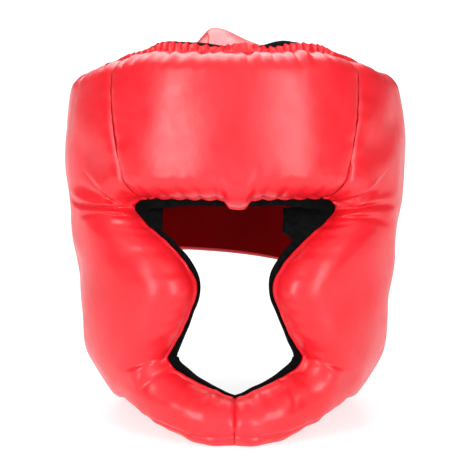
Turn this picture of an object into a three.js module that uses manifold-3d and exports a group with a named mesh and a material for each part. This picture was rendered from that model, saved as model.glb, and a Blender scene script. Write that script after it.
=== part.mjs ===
import * as THREE from 'three';
import { mergeVertices } from 'three/addons/utils/BufferGeometryUtils.js';
import Module from 'manifold-3d';

// A padded full-face head guard in millimetres. The face looks to -Y, +Z is up and +X is the wearer's left.
// It is drawn upright, as worn, and then leans back on its chin and its two rear corners.

const wasm = await Module();
wasm.setup();

// Driving dimensions
const LEAN_DEG = 10;            // how far it leans back at rest
const FLOOR = 17.2;             // height of the floor under the leaning guard's turning axis
const MIDDLE_Y = 21.48;         // middle of the leaning guard's depth
const SQUARENESS = 0.05;        // how far the plan outline bulges at its diagonals
const SEAM_GAP = 0.35;          // gap between sewn pieces
const SKIN = 4;                 // band and flap: two skins with thin foam
const CROWN_SKIN = 2.4;         // crown
const LINING = 1.6;             // crown lining, rim facing and loop patch
const EAR_SKIN = 7;             // ear panel
const WING_OUT = 2.5;           // how far the wing's outside lies under the shell surface
const WING_IN = 19;             // and its inside
const WING_ANGLE = 130;         // where the wing's rear edge is, from the face round to the back
const VENT_RADIUS = 4.2;
const VENT_ANGLE = 90;
const VENT_HEIGHTS = [82, 108];
const VENT_SIDES = 16;

// The outside of the shell at each height: half width, reach to the front and reach to the rear
const LEVELS = [
  { z: -10, width: 60, front: 101, rear: 80 },
  { z: 20, width: 76, front: 107, rear: 90 },
  { z: 38, width: 86.5, front: 109, rear: 96 },
  { z: 55, width: 95.5, front: 110, rear: 100 },
  { z: 75, width: 100, front: 112, rear: 105 },
  { z: 100, width: 102.5, front: 114, rear: 110 },
  { z: 125, width: 104.5, front: 114, rear: 114 },
  { z: 150, width: 106.2, front: 113, rear: 117 },
  { z: 182, width: 107.5, front: 112, rear: 118 },
  { z: 206, width: 106, front: 111, rear: 117 },
  { z: 230, width: 102, front: 109, rear: 112 },
  { z: 255, width: 96, front: 104, rear: 104 },
];

// One half of the padding as lines from the face opening's rim out to the shell's outer edge, brow to chin.
// rim_x and rim_z are where the line starts, angle and z where it ends, and thick is the padding.
// rim_roll and edge_roll are how far the leather rounds over at each end, and seat is the thickness left
// at the outer edge, as a share of the padding.
const STATIONS = [
  { at: 0, rim_x: 0, rim_z: 153, angle: 0, z: 245, thick: 24, rim_roll: 14, edge_roll: 15, seat: 0.3 },
  { at: 1, rim_x: 20, rim_z: 153.5, angle: 17, z: 245.5, thick: 24, rim_roll: 14, edge_roll: 15, seat: 0.3 },
  { at: 2, rim_x: 40, rim_z: 153.5, angle: 33, z: 246, thick: 24, rim_roll: 14, edge_roll: 15, seat: 0.3 },
  { at: 3, rim_x: 55.5, rim_z: 153, angle: 50, z: 241.5, thick: 24, rim_roll: 15, edge_roll: 15, seat: 0.3 },
  { at: 4, rim_x: 63, rim_z: 149.5, angle: 73, z: 235, thick: 23, rim_roll: 16, edge_roll: 15, seat: 0.3 },
  { at: 5, rim_x: 64.2, rim_z: 145, angle: 92, z: 228, thick: 22, rim_roll: 15, edge_roll: 14, seat: 0.4 },
  { at: 6, rim_x: 61.5, rim_z: 141, angle: 93, z: 190, thick: 22, rim_roll: 16, edge_roll: 12, seat: 0.42 },
  { at: 7, rim_x: 55, rim_z: 135, angle: 90, z: 155, thick: 22.5, rim_roll: 19, edge_roll: 12, seat: 0.42 },
  { at: 8, rim_x: 44.5, rim_z: 126, angle: 86, z: 128, thick: 23.5, rim_roll: 22, edge_roll: 13, seat: 0.42 },
  { at: 9, rim_x: 34, rim_z: 115, angle: 82, z: 108, thick: 25, rim_roll: 25, edge_roll: 13, seat: 0.42 },
  { at: 10, rim_x: 26.5, rim_z: 103, angle: 80, z: 93, thick: 26, rim_roll: 26, edge_roll: 14, seat: 0.42 },
  { at: 11, rim_x: 25, rim_z: 92.5, angle: 80, z: 80, thick: 26, rim_roll: 26, edge_roll: 14, seat: 0.42 },
  { at: 12, rim_x: 29.5, rim_z: 79, angle: 83, z: 66, thick: 26, rim_roll: 25, edge_roll: 14, seat: 0.42 },
  { at: 13, rim_x: 35.5, rim_z: 65, angle: 91, z: 50, thick: 25, rim_roll: 23, edge_roll: 14, seat: 0.42 },
  { at: 14, rim_x: 42, rim_z: 53, angle: 101, z: 34, thick: 24, rim_roll: 20, edge_roll: 15, seat: 0.42 },
  { at: 15, rim_x: 43.5, rim_z: 47.5, angle: 108, z: 17, thick: 23, rim_roll: 18, edge_roll: 18, seat: 0.42 },
  { at: 16, rim_x: 40, rim_z: 40.5, angle: 78, z: 15.5, thick: 24, rim_roll: 16, edge_roll: 18, seat: 0.36 },
  { at: 17, rim_x: 29, rim_z: 34.5, angle: 48, z: 3.5, thick: 25, rim_roll: 15, edge_roll: 16, seat: 0.4 },
  { at: 18, rim_x: 14.5, rim_z: 30, angle: 23, z: -4, thick: 26, rim_roll: 15, edge_roll: 15, seat: 0.45 },
  { at: 19, rim_x: 0, rim_z: 25, angle: 0, z: -4, thick: 26, rim_roll: 14, edge_roll: 15, seat: 0.45 },
];
const SEAM_AT = 3;
const EAR_TOP_AT = 5;
const EAR_BOTTOM_AT = 15;
const CHIN_AT = 19;
const RIM_SEAT = 0.17;          // thickness of the rim as a share of the padding
const INSIDE_ROLL = 12;         // how far the padding's inside rounds over at rim and edge
const INSIDE_RIM = 0.04;        // how much it rounds at the rim, as a share of the padding
const INSIDE_EDGE = 0.15;       // thickness of the outer edge's seam, as a share of the padding
const LEAST_MEETING = 0.35;     // least sine of the angle between a line and the border that it meets

// At the same stations: the angle of the ear panel's rear edge and the height on the wing's rear edge
const EAR_ROWS = [
  { at: 5, back: 98, rear_z: 214 },
  { at: 6, back: 99, rear_z: 188 },
  { at: 7, back: 100.5, rear_z: 166 },
  { at: 8, back: 102.5, rear_z: 150.5 },
  { at: 9, back: 104, rear_z: 139 },
  { at: 10, back: 105.5, rear_z: 130 },
  { at: 11, back: 106.5, rear_z: 122.5 },
  { at: 12, back: 108, rear_z: 114.5 },
  { at: 13, back: 110, rear_z: 107 },
  { at: 14, back: 112, rear_z: 99.5 },
  { at: 15, back: 114.5, rear_z: 92 },
];

// Folds of the leather: the station they run along, the part of that line they cover, and their size.
// side is 1 for the wearer's left, -1 for the right.
const FOLDS = [
  { side: -1, at: 4.6, from: 0.02, to: 0.6, wide: 0.45, deep: 2.4 },
  { side: -1, at: 6.6, from: 0.02, to: 0.45, wide: 0.5, deep: 2.2 },
  { side: -1, at: 14.4, from: 0.02, to: 0.45, wide: 0.45, deep: 2.4 },
  { side: 1, at: 4.4, from: 0.02, to: 0.5, wide: 0.45, deep: 2.2 },
  { side: 1, at: 5.7, from: 0.02, to: 0.6, wide: 0.45, deep: 2 },
  { side: 1, at: 7.4, from: 0.02, to: 0.45, wide: 0.5, deep: 2.2 },
  { side: 1, at: 14.4, from: 0.02, to: 0.4, wide: 0.45, deep: 2.2 },
];
const GATHER_DEPTH = 1.1;       // waves of the leather by the top edge
const GATHER_FROM = 0.7;        // where the waves begin, as a share of the line
const GATHER_RISE = 0.25;       // the share over which they grow
const GATHER_FADE = 0.03;       // and the share over which they end at the edge
const BROW_DIP = { x: 5, wide: 6, deep: 4.5 };

// Crown arms: how far each reaches from the crown's middle, how far its end drops and how steep it ends,
// how wide the end is and how far it bulges to the wall
const CROWN_TOP = 249;
const CROWN_Y = 6;
const CROWN_ARMS = [
  { name: 'front', x: 0, y: -1, reach: 86.3, drop: 13, end_deg: 40, end_wide: 30, bulge: 5 },
  { name: 'left', x: 1, y: 0, reach: 79.35, drop: 35, end_deg: 62, end_wide: 30, bulge: 4 },
  { name: 'rear', x: 0, y: 1, reach: 92.1, drop: 78, end_deg: 78, end_wide: 24, bulge: 2.5 },
  { name: 'right', x: -1, y: 0, reach: 79.35, drop: 35, end_deg: 62, end_wide: 30, bulge: 4 },
];
const CROWN_NECK = 34;          // half width of the cross where two arms meet
const CROWN_ARM = 24;           // half width of an arm
const CROWN_FOLD = { x: -14, y: -46, right: 10, left: 21, long: 34, high: 13 };

const radians = THREE.MathUtils.degToRad;
const mix = THREE.MathUtils.lerp;
const clamp = THREE.MathUtils.clamp;

// Reading the tables

// A smooth curve through one column of a table.
function curve(rows, key, column, at) {
  let i = 0;
  while (i < rows.length - 2 && at > rows[i + 1][key]) i++;
  const slope = (k) => {
    const before = rows[Math.max(k - 1, 0)];
    const after = rows[Math.min(k + 1, rows.length - 1)];
    return (after[column] - before[column]) / (after[key] - before[key]);
  };
  const span = rows[i + 1][key] - rows[i][key];
  const s = (at - rows[i][key]) / span;
  const start = rows[i][column] * (1 + 2 * s) * (1 - s) ** 2 + span * slope(i) * s * (1 - s) ** 2;
  const end = rows[i + 1][column] * s * s * (3 - 2 * s) - span * slope(i + 1) * s * s * (1 - s);
  return start + end;
}

// The station table with the row beyond the brow mirrored, so that the brow is smooth across the middle.
const BROW_MIRROR = { ...STATIONS[1], at: -1, rim_x: -STATIONS[1].rim_x, angle: -STATIONS[1].angle };
const HALF = [BROW_MIRROR, ...STATIONS];
const station = (u, column) => curve(HALF, 'at', column, Math.abs(u));

// The shell

// A point on the outside of the shell, by the angle round from the face and the height.
function shell(angle, z) {
  const across = Math.sin(angle);
  const along = Math.cos(angle);
  const reach = curve(LEVELS, 'z', along > 0 ? 'front' : 'rear', z);
  const x = curve(LEVELS, 'z', 'width', z) * across * (1 + SQUARENESS * along ** 2);
  const y = -reach * along * (1 + SQUARENESS * across ** 2);
  return new THREE.Vector3(x, y, z);
}

function shellNormal(angle, z) {
  const step = 0.01;
  const round = shell(angle + step, z).sub(shell(angle - step, z));
  const up = shell(angle, z + 1).sub(shell(angle, z - 1));
  return round.cross(up).normalize();
}

// A point at a depth under the outside of the shell, pressed flat where the guard rests on the floor.
function wall(angle, z, depth) {
  return rested(shell(angle, z).addScaledVector(shellNormal(angle, z), -depth));
}

const LEAN = radians(LEAN_DEG);
const FLOOR_NORMAL = new THREE.Vector3(0, -Math.sin(LEAN), Math.cos(LEAN));

function rested(point) {
  const under = FLOOR - point.dot(FLOOR_NORMAL);
  return under > 0 ? point.addScaledVector(FLOOR_NORMAL, under) : point;
}

// The lines from rim to edge

// The angle at which the rim, under the padding, has the x that the station asks for.
const rimAngles = new Map();
function rimAngle(u) {
  if (rimAngles.has(u)) return rimAngles.get(u);
  const z = station(u, 'rim_z');
  const depth = station(u, 'thick') * (1 - RIM_SEAT);
  const x = Math.abs(station(u, 'rim_x'));
  let low = 0;
  let high = Math.PI / 2;
  for (let i = 0; i < 40; i++) {
    const middle = (low + high) / 2;
    const reached = shell(middle, z).addScaledVector(shellNormal(middle, z), -depth).x;
    if (reached < x) low = middle;
    else high = middle;
  }
  rimAngles.set(u, low);
  return low;
}

// The leather at the brow's middle hangs a little lower.
function rimHeight(u) {
  const x = Math.sign(u) * station(u, 'rim_x');
  const dip = Math.abs(u) < SEAM_AT ? Math.exp(-(((x - BROW_DIP.x) / BROW_DIP.wide) ** 2)) : 0;
  return station(u, 'rim_z') - BROW_DIP.deep * dip;
}

// Where the line of a station is, r of the way from the rim to the edge.
function line(u, r) {
  const side = u < 0 ? -1 : 1;
  const angle = mix(rimAngle(u), radians(station(u, 'angle')), r);
  const z = mix(rimHeight(u), station(u, 'z'), r);
  return { angle: side * angle, z };
}

const onLine = (u, r, depth) => {
  const place = line(u, r);
  return wall(place.angle, place.z, depth);
};

// How square a line meets the rim (r 0) or the edge (r 1), as a sine.
function meeting(u, r) {
  const step = 0.05;
  const inward = (r < 0.5 ? 2 : -2) * step;
  const from = onLine(u, r, 0);
  const along = onLine(u, r + inward, 0).sub(from).normalize();
  const low = Math.max(Math.abs(u) - step, 0);
  const high = Math.min(Math.abs(u) + step, CHIN_AT);
  const side = u < 0 ? -1 : 1;
  const border = onLine(side * high, r, 0).sub(onLine(side * low, r, 0)).normalize();
  return clamp(along.cross(border).length(), LEAST_MEETING, 1);
}

// Rounding over of leather: 0 at the edge and 1 where the padding is full.
const rounded = (share) => Math.sqrt(1 - (1 - clamp(share, 0, 1)) ** 2);

const lineLengths = new Map();
function lineLength(u) {
  if (lineLengths.has(u)) return lineLengths.get(u);
  const steps = 8;
  let length = 0;
  for (let i = 0; i < steps; i++) length += onLine(u, i / steps, 0).distanceTo(onLine(u, (i + 1) / steps, 0));
  const found = { length, rim: meeting(u, 0), edge: meeting(u, 1) };
  lineLengths.set(u, found);
  return found;
}

function foldDepth(u, r) {
  let depth = 0;
  for (const fold of FOLDS) {
    if (fold.side !== Math.sign(u)) continue;
    const across = Math.exp(-(((Math.abs(u) - fold.at) / fold.wide) ** 2));
    const share = clamp((r - fold.from) / (fold.to - fold.from), 0, 1);
    depth += fold.deep * across * Math.sin(Math.PI * Math.sqrt(share));
  }
  return depth;
}

// Depth of the padding's outside under the shell surface.
function outside(u, r, gather) {
  const { length, rim, edge } = lineLength(u);
  const thick = station(u, 'thick');
  const seat = station(u, 'seat');
  const atRim = RIM_SEAT + (1 - RIM_SEAT) * rounded((r * length * rim) / station(u, 'rim_roll'));
  const atEdge = seat + (1 - seat) * rounded(((1 - r) * length * edge) / station(u, 'edge_roll'));
  const full = Math.max(1 - Math.hypot(1 - atRim, 1 - atEdge), Math.min(RIM_SEAT, seat));
  const growing = clamp((r - GATHER_FROM) / GATHER_RISE, 0, 1);
  const ending = clamp((1 - r) / GATHER_FADE, 0, 1);
  const waves = Math.abs(u) < EAR_TOP_AT ? GATHER_DEPTH * gather * growing * ending : 0;
  return thick * (1 - full) + foldDepth(u, r) + waves;
}

// Depth of the padding's inside, which rounds out a little to the edges.
function inside(u, r) {
  const { length, rim, edge } = lineLength(u);
  const thick = station(u, 'thick');
  const edgeShare = Math.max(station(u, 'seat') - INSIDE_EDGE, 0);
  const fromRim = INSIDE_RIM * (1 - rounded((r * length * rim) / INSIDE_ROLL));
  const fromEdge = edgeShare * (1 - rounded(((1 - r) * length * edge) / INSIDE_ROLL));
  return thick * (1 - fromRim - fromEdge);
}

// Building solids

// A closed solid through rings of points, each ring the same count. Rings that don't join up get end caps,
// zipped between the ring's first points (outer) and its last points (inner, which run back).
function loft(rings, outerCount, joined) {
  const count = rings[0].length;
  const positions = [];
  const index = [];
  for (const ring of rings) for (const p of ring) positions.push(p.x, p.y, p.z);
  const spans = joined ? rings.length : rings.length - 1;
  for (let i = 0; i < spans; i++) {
    const next = (i + 1) % rings.length;
    for (let j = 0; j < count; j++) {
      const k = (j + 1) % count;
      const corners = [i * count + j, next * count + j, next * count + k, i * count + k];
      index.push(corners[0], corners[1], corners[2], corners[0], corners[2], corners[3]);
    }
  }
  if (!joined) {
    index.push(...cap(0, outerCount, count, false));
    index.push(...cap((rings.length - 1) * count, outerCount, count, true));
  }
  return facingOut(positions, index);
}

function cap(start, outerCount, count, turned) {
  const outer = [];
  const inner = [];
  for (let j = 0; j < outerCount; j++) outer.push(start + j);
  for (let j = count - 1; j >= outerCount; j--) inner.push(start + j);
  const faces = [];
  let a = 0;
  let b = 0;
  while (a < outer.length - 1 || b < inner.length - 1) {
    const nextOuter = (a + 1) / (outer.length - 1);
    const nextInner = (b + 1) / (inner.length - 1);
    const stepOuter = b === inner.length - 1 || (a < outer.length - 1 && nextOuter <= nextInner);
    const tip = stepOuter ? outer[a + 1] : inner[b + 1];
    faces.push(...(turned ? [outer[a], inner[b], tip] : [outer[a], tip, inner[b]]));
    if (stepOuter) a++;
    else b++;
  }
  return faces;
}

// A geometry whose faces point out.
function facingOut(positions, index) {
  const corner = (i) => new THREE.Vector3().fromArray(positions, 3 * index[i]);
  let volume = 0;
  for (let i = 0; i < index.length; i += 3) volume += corner(i).dot(corner(i + 1).cross(corner(i + 2)));
  if (volume < 0) for (let i = 0; i < index.length; i += 3) [index[i], index[i + 1]] = [index[i + 1], index[i]];
  const geometry = new THREE.BufferGeometry();
  geometry.setAttribute('position', new THREE.Float32BufferAttribute(positions, 3));
  geometry.setIndex(index);
  return geometry;
}

// A solid sheet between two grids of points, outer and inner, row by row.
function sheet(outer, inner) {
  const rings = outer.map((row, i) => [...row, ...inner[i].slice().reverse()]);
  return loft(rings, outer[0].length, false);
}

const steps = (count, from, to) => Array.from({ length: count + 1 }, (_, i) => mix(from, to, i / count));

function manifoldOf(geometry) {
  const bare = new THREE.BufferGeometry();
  const flat = geometry.index ? geometry.toNonIndexed() : geometry;
  bare.setAttribute('position', flat.getAttribute('position'));
  const merged = mergeVertices(bare, 1e-4);
  const vertProperties = merged.attributes.position.array;
  const triVerts = new Uint32Array(merged.index.array);
  return new wasm.Manifold(new wasm.Mesh({ numProp: 3, vertProperties, triVerts }));
}

function geometryOf(solid) {
  const mesh = solid.getMesh();
  const geometry = new THREE.BufferGeometry();
  geometry.setAttribute('position', new THREE.Float32BufferAttribute(mesh.vertProperties, 3));
  geometry.setIndex(Array.from(mesh.triVerts));
  return geometry;
}

const colours = {
  leather: { color: 0xe8323a, roughness: 0.42, metalness: 0 },
  loop: { color: 0xa0101c, roughness: 0.95, metalness: 0 },
  black: { color: 0x0b0c0e, roughness: 0.8, metalness: 0 },
};

const guard = new THREE.Group();
guard.name = 'guard';
function piece(name, geometry, material) {
  const mesh = new THREE.Mesh(geometry, new THREE.MeshStandardMaterial(colours[material]));
  mesh.name = name;
  guard.add(mesh);
}

// The padding: forehead and cheeks

const OUTER_SHARES = [0, 0.03, 0.1, 0.22, 0.42, 0.64, 0.82, 0.94, 1];
const INNER_SHARES = [1, 0.8, 0.5, 0.25, 0.1, 0];
const SEAM_SHARE = 0.012;       // half the seam gap, in stations
const FOREHEAD_COLUMNS = 26;
const CHEEK_COLUMNS = 40;

function padRing(u, gather) {
  const outer = OUTER_SHARES.map((r) => onLine(u, r, outside(u, r, gather)));
  const inner = INNER_SHARES.map((r) => onLine(u, r, inside(u, r)));
  return [...outer, ...inner];
}

const foreheadColumns = steps(FOREHEAD_COLUMNS, -SEAM_AT + SEAM_SHARE, SEAM_AT - SEAM_SHARE);
const cheekColumns = steps(CHEEK_COLUMNS, SEAM_AT + SEAM_SHARE, CHIN_AT - SEAM_SHARE);

function pad(columns) {
  const rings = columns.map((u, i) => padRing(u, i % 2 ? 1 : -1));
  return loft(rings, OUTER_SHARES.length, false);
}

piece('forehead_pad', pad(foreheadColumns), 'leather');
piece('cheek_pad_left', pad(cheekColumns), 'leather');
piece('cheek_pad_right', pad(cheekColumns.map((u) => -u)), 'leather');

// The ear panels, flat between cheek and wing, with two vent holes

const EAR_SHARES = [0, 0.33, 0.67, 1];
const EAR_INSIDE = 20.5;        // depth of the ear panel's inside under the shell surface
const GAP_DEG = 0.15;           // half the gap along the ear seams, as an angle

const earColumns = cheekColumns.filter((u) => u > EAR_TOP_AT && u < EAR_BOTTOM_AT);

function earPanel(side) {
  const outer = [];
  const inner = [];
  for (const u of earColumns) {
    const z = station(u, 'z');
    const front = station(u, 'angle') + 3 * GAP_DEG;
    const back = curve(EAR_ROWS, 'at', 'back', u) - GAP_DEG;
    const at = (share, depth) => wall(side * radians(mix(front, back, share)), z, depth);
    outer.push(EAR_SHARES.map((share) => at(share, EAR_INSIDE - EAR_SKIN)));
    inner.push(EAR_SHARES.map((share) => at(share, EAR_INSIDE)));
  }
  let solid = manifoldOf(sheet(outer, inner));
  for (const height of VENT_HEIGHTS) {
    const angle = side * radians(VENT_ANGLE);
    const drill = new THREE.CylinderGeometry(VENT_RADIUS, VENT_RADIUS, 4 * EAR_SKIN, VENT_SIDES);
    const turn = new THREE.Quaternion();
    turn.setFromUnitVectors(new THREE.Vector3(0, 1, 0), shellNormal(angle, height));
    drill.applyQuaternion(turn);
    const middle = wall(angle, height, EAR_INSIDE - EAR_SKIN / 2);
    drill.translate(middle.x, middle.y, middle.z);
    solid = solid.subtract(manifoldOf(drill));
  }
  return geometryOf(solid);
}

piece('ear_panel_left', earPanel(1), 'leather');
piece('ear_panel_right', earPanel(-1), 'leather');

// The rear wings, from the ear panel to the rear edge

const WING_SHARES = [0, 0.06, 0.2, 0.42, 0.66, 0.86, 0.96, 1];
const WING_INNER_SHARES = [1, 0.66, 0.3, 0];
const WING_ROLL = 13;
const WING_HIGH = 150;          // mean height of the wing
const WING_SEAT = 0.5;          // thickness of the wing's edges as a share of its middle

function wing(side) {
  const rings = [];
  for (const [row, u] of earColumns.entries()) {
    const v = row / (earColumns.length - 1);
    const front = curve(EAR_ROWS, 'at', 'back', u) + GAP_DEG;
    const rear_z = curve(EAR_ROWS, 'at', 'rear_z', u);
    const at = (share, depth) => {
      const angle = side * radians(mix(front, WING_ANGLE, share));
      return wall(angle, mix(station(u, 'z'), rear_z, share), depth);
    };
    const width = at(0, 0).distanceTo(at(1, 0));
    const full = (share) => {
      const across = 1 - rounded((Math.min(share, 1 - share) * width) / WING_ROLL);
      const up = 1 - rounded((Math.min(v, 1 - v) * WING_HIGH) / WING_ROLL);
      return Math.max(1 - Math.hypot(across, up) * (1 - WING_SEAT), WING_SEAT);
    };
    const thick = WING_IN - WING_OUT;
    const outer = WING_SHARES.map((share) => at(share, WING_IN - thick * full(share)));
    const inner = WING_INNER_SHARES.map((share) => at(share, WING_IN));
    rings.push([...outer, ...inner]);
  }
  return loft(rings, WING_SHARES.length, false);
}

piece('rear_wing_left', wing(1), 'leather');
piece('rear_wing_right', wing(-1), 'leather');

// The rear closure: band, loop patch and closing flap

const BAND_DEPTH = 12.5;        // depth of the band's outside under the shell surface
const BAND_END = 222;           // the band's free end, as an angle round from the face
const PATCH_FROM = 131.5;
const PATCH_TO = 219;
const FLAP_ROOT = 360 - WING_ANGLE - 2 * GAP_DEG;
const FLAP_END = 187;
const ROOT_ANGLE = WING_ANGLE + 2 * GAP_DEG;
const BAND_COLUMNS = 20;
const FLAP_COLUMNS = 12;
const BAND_LANES = 4;

// Lower and upper edges of the band and the flap, from the root to the free end
const BAND_ROWS = [
  { at: 0, low: 97, high: 205 },
  { at: 0.5, low: 110, high: 199 },
  { at: 1, low: 116, high: 188 },
];
const FLAP_ROWS = [
  { at: 0, low: 106, high: 203 },
  { at: 0.5, low: 113, high: 201 },
  { at: 1, low: 115, high: 199 },
];
const PATCH_ROWS = [
  { at: 0, low: 129, high: 188 },
  { at: 1, low: 131, high: 186 },
];

// A curved strip at one depth, between two angles, its edges from a table.
function strip(rows, from, to, depth, thick, columns, lanes) {
  const outer = [];
  const inner = [];
  for (const share of steps(columns, 0, 1)) {
    const angle = radians(mix(from, to, share));
    const low = curve(rows, 'at', 'low', share);
    const high = curve(rows, 'at', 'high', share);
    const heights = steps(lanes, low, high);
    outer.push(heights.map((z) => wall(angle, z, depth)));
    inner.push(heights.map((z) => wall(angle, z, depth + thick)));
  }
  return sheet(outer, inner);
}

const PATCH_DEPTH = BAND_DEPTH - LINING - 2 * SEAM_GAP;
const FLAP_DEPTH = PATCH_DEPTH - SKIN - 2 * SEAM_GAP;
const band = strip(BAND_ROWS, ROOT_ANGLE, BAND_END, BAND_DEPTH, SKIN, BAND_COLUMNS, BAND_LANES);
const patch = strip(PATCH_ROWS, PATCH_FROM, PATCH_TO, PATCH_DEPTH, LINING, BAND_COLUMNS, BAND_LANES);
const flap = strip(FLAP_ROWS, FLAP_ROOT, FLAP_END, FLAP_DEPTH, SKIN, FLAP_COLUMNS, BAND_LANES);
piece('rear_band', band, 'leather');
piece('loop_patch', patch, 'loop');
piece('closing_flap', flap, 'leather');

// The crown: a cross of four arms with a black lining under it

const CROWN_NECK_ROWS = 3;
const CROWN_ARM_ROWS = 6;
const CROWN_LANES = 6;
const STEEPEST = 0.995;         // largest sine of a crown arm's slope

// How far an arm has dropped at a distance from the crown's middle.
function armDrop(arm, out) {
  const end = radians(arm.end_deg);
  const slope = Math.min((out * Math.sin(end)) / (arm.reach + arm.bulge), STEEPEST);
  return (arm.drop * (1 - Math.sqrt(1 - slope * slope))) / (1 - Math.cos(end));
}

function crownHeight(x, y) {
  const across = CROWN_ARMS.find((arm) => arm.x === (x < 0 ? -1 : 1));
  const along = CROWN_ARMS.find((arm) => arm.y === (y < 0 ? -1 : 1));
  const fold = CROWN_FOLD;
  const wide = x < fold.x ? fold.right : fold.left;
  const folded = fold.high * Math.exp(-(((x - fold.x) / wide) ** 2) - ((y - fold.y) / fold.long) ** 2);
  return CROWN_TOP + folded - armDrop(across, Math.abs(x)) - armDrop(along, Math.abs(y));
}

// Half width of an arm at a distance from the middle: the diagonal first, then a hollow curve to its end.
function armWidth(arm, out) {
  if (out <= CROWN_NECK) return out;
  const share = (out - CROWN_NECK) / (arm.reach - CROWN_NECK);
  const narrowing = mix(CROWN_NECK, CROWN_ARM, Math.sin((Math.PI / 2) * Math.min(share * 2, 1)));
  return mix(narrowing, arm.end_wide, clamp(share * 2 - 1, 0, 1) ** 2);
}

function crownPoint(x, y, under) {
  const step = 0.5;
  const slopeX = (crownHeight(x + step, y) - crownHeight(x - step, y)) / (2 * step);
  const slopeY = (crownHeight(x, y + step) - crownHeight(x, y - step)) / (2 * step);
  const normal = new THREE.Vector3(-slopeX, -slopeY, 1).normalize();
  return new THREE.Vector3(x, y + CROWN_Y, crownHeight(x, y)).addScaledVector(normal, -under);
}

// The places of one arm's rows and lanes in plan: a wedge from the middle, then a strip.
function armPlan(arm) {
  const end = radians(arm.end_deg);
  const outs = steps(CROWN_NECK_ROWS, 0, CROWN_NECK);
  const first = Math.asin((CROWN_NECK * Math.sin(end)) / arm.reach);
  for (const angle of steps(CROWN_ARM_ROWS, first, end).slice(1)) {
    outs.push((arm.reach * Math.sin(angle)) / Math.sin(end));
  }
  return outs.map((out) =>
    steps(CROWN_LANES, -1, 1).map((lane) => {
      const side = lane * armWidth(arm, out);
      const beyond = clamp((out - CROWN_NECK) / (arm.reach - CROWN_NECK), 0, 1);
      const far = out + arm.bulge * beyond ** 2 * (1 - lane * lane);
      const x = arm.x ? arm.x * far : -arm.y * side;
      const y = arm.y ? arm.y * far : arm.x * side;
      return { x, y };
    }),
  );
}

// The cross in plan as places and faces, its arms sharing the places along their diagonals.
function crownPlan() {
  const places = [];
  const numbers = new Map();
  const number = ({ x, y }) => {
    const key = `${Math.round(x * 100)},${Math.round(y * 100)}`;
    if (!numbers.has(key)) numbers.set(key, places.push({ x, y }) - 1);
    return numbers.get(key);
  };
  const faces = [];
  const addFace = (a, b, c) => {
    if (a !== b && b !== c && a !== c) faces.push([a, b, c]);
  };
  for (const arm of CROWN_ARMS) {
    const rows = armPlan(arm).map((row) => row.map(number));
    for (let i = 0; i < rows.length - 1; i++) {
      for (let j = 0; j < CROWN_LANES; j++) {
        addFace(rows[i][j], rows[i + 1][j], rows[i + 1][j + 1]);
        addFace(rows[i][j], rows[i + 1][j + 1], rows[i][j + 1]);
      }
    }
  }
  return { places, faces };
}

// A sheet of one thickness under the crown's surface, walled along its border.
function crown(under, thick) {
  const { places, faces } = crownPlan();
  const positions = [];
  for (const depth of [under, under + thick]) {
    for (const { x, y } of places) positions.push(...crownPoint(x, y, depth).toArray());
  }
  const count = places.length;
  const edges = new Map();
  for (const face of faces) {
    face.forEach((a, i) => edges.set(`${a},${face[(i + 1) % 3]}`, [a, face[(i + 1) % 3]]));
  }
  const index = faces.flatMap(([a, b, c]) => [a, b, c, count + a, count + c, count + b]);
  for (const [a, b] of edges.values()) {
    if (!edges.has(`${b},${a}`)) index.push(a, count + a, count + b, a, count + b, b);
  }
  return facingOut(positions, index);
}

piece('crown_cross', crown(0, CROWN_SKIN), 'leather');
piece('crown_lining', crown(CROWN_SKIN + SEAM_GAP, LINING), 'black');

// The black facing round the inside of the face opening

const FACING_WIDE = 9;
const FACING_LIP = 3.6;
const FACING_GAP = 1.1;
const FACING_STEP = 0.04;       // share of the line over which the lip's direction is taken

function facingRing(u) {
  const { length } = lineLength(u);
  const within = FACING_WIDE / length;
  const rim = onLine(u, 0, inside(u, 0) + FACING_GAP);
  const next = onLine(u, FACING_STEP, inside(u, FACING_STEP) + FACING_GAP);
  const inward = rim.clone().sub(next).normalize();
  const place = line(u, 0);
  const normal = shellNormal(place.angle, place.z);
  const lip = rim.clone().addScaledVector(inward, FACING_LIP);
  const front = [lip, rim];
  front.push(onLine(u, within / 2, inside(u, within / 2) + FACING_GAP));
  front.push(onLine(u, within, inside(u, within) + FACING_GAP));
  const back = [within, within / 2, 0].map((r) => onLine(u, r, inside(u, r) + FACING_GAP + LINING));
  back.push(lip.clone().addScaledVector(normal, -LINING));
  return [...front, ...back];
}

const ringColumns = [
  ...foreheadColumns,
  ...cheekColumns,
  ...cheekColumns.map((u) => -u).reverse(),
];
piece('rim_facing', loft(ringColumns.map(facingRing), 4, true), 'black');

// The gathered strip along the top edge

const GATHER_COLUMNS = 92;
const GATHER_GAP = 0.6;         // gap between it and the padding below
const GATHER_HIGH = 6;
const GATHER_THICK = 2;
const GATHER_WAVE = 1.6;        // how far the waves go in and out
const GATHER_LIFT = 0.7;        // and up and down
const GATHER_DEPTH_AT = 17.5;   // depth under the shell surface at the top edge
const GATHER_SHORT = 0.25;      // how far it ends before the ear panel, in stations

function gatherRing(u, wave) {
  const end = line(u, 1);
  const depth = GATHER_DEPTH_AT + GATHER_WAVE * wave;
  const rise = (share) => end.z + GATHER_GAP + share * (GATHER_HIGH + GATHER_LIFT * wave);
  const at = (share, thick) => wall(end.angle, rise(share), depth + thick - GATHER_WAVE * wave * (1 - share));
  const face = [0, 0.5, 1].map((share) => at(share, 0));
  const behind = [1, 0.5, 0].map((share) => at(share, GATHER_THICK));
  return [...face, ...behind];
}

const gatherEnd = EAR_TOP_AT - GATHER_SHORT;
const gatherColumns = steps(GATHER_COLUMNS, -gatherEnd, gatherEnd);
const gatherRings = gatherColumns.map((u, i) => gatherRing(u, i % 2 ? 1 : -1));
piece('top_edge_gather', loft(gatherRings, 3, false), 'leather');

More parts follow.
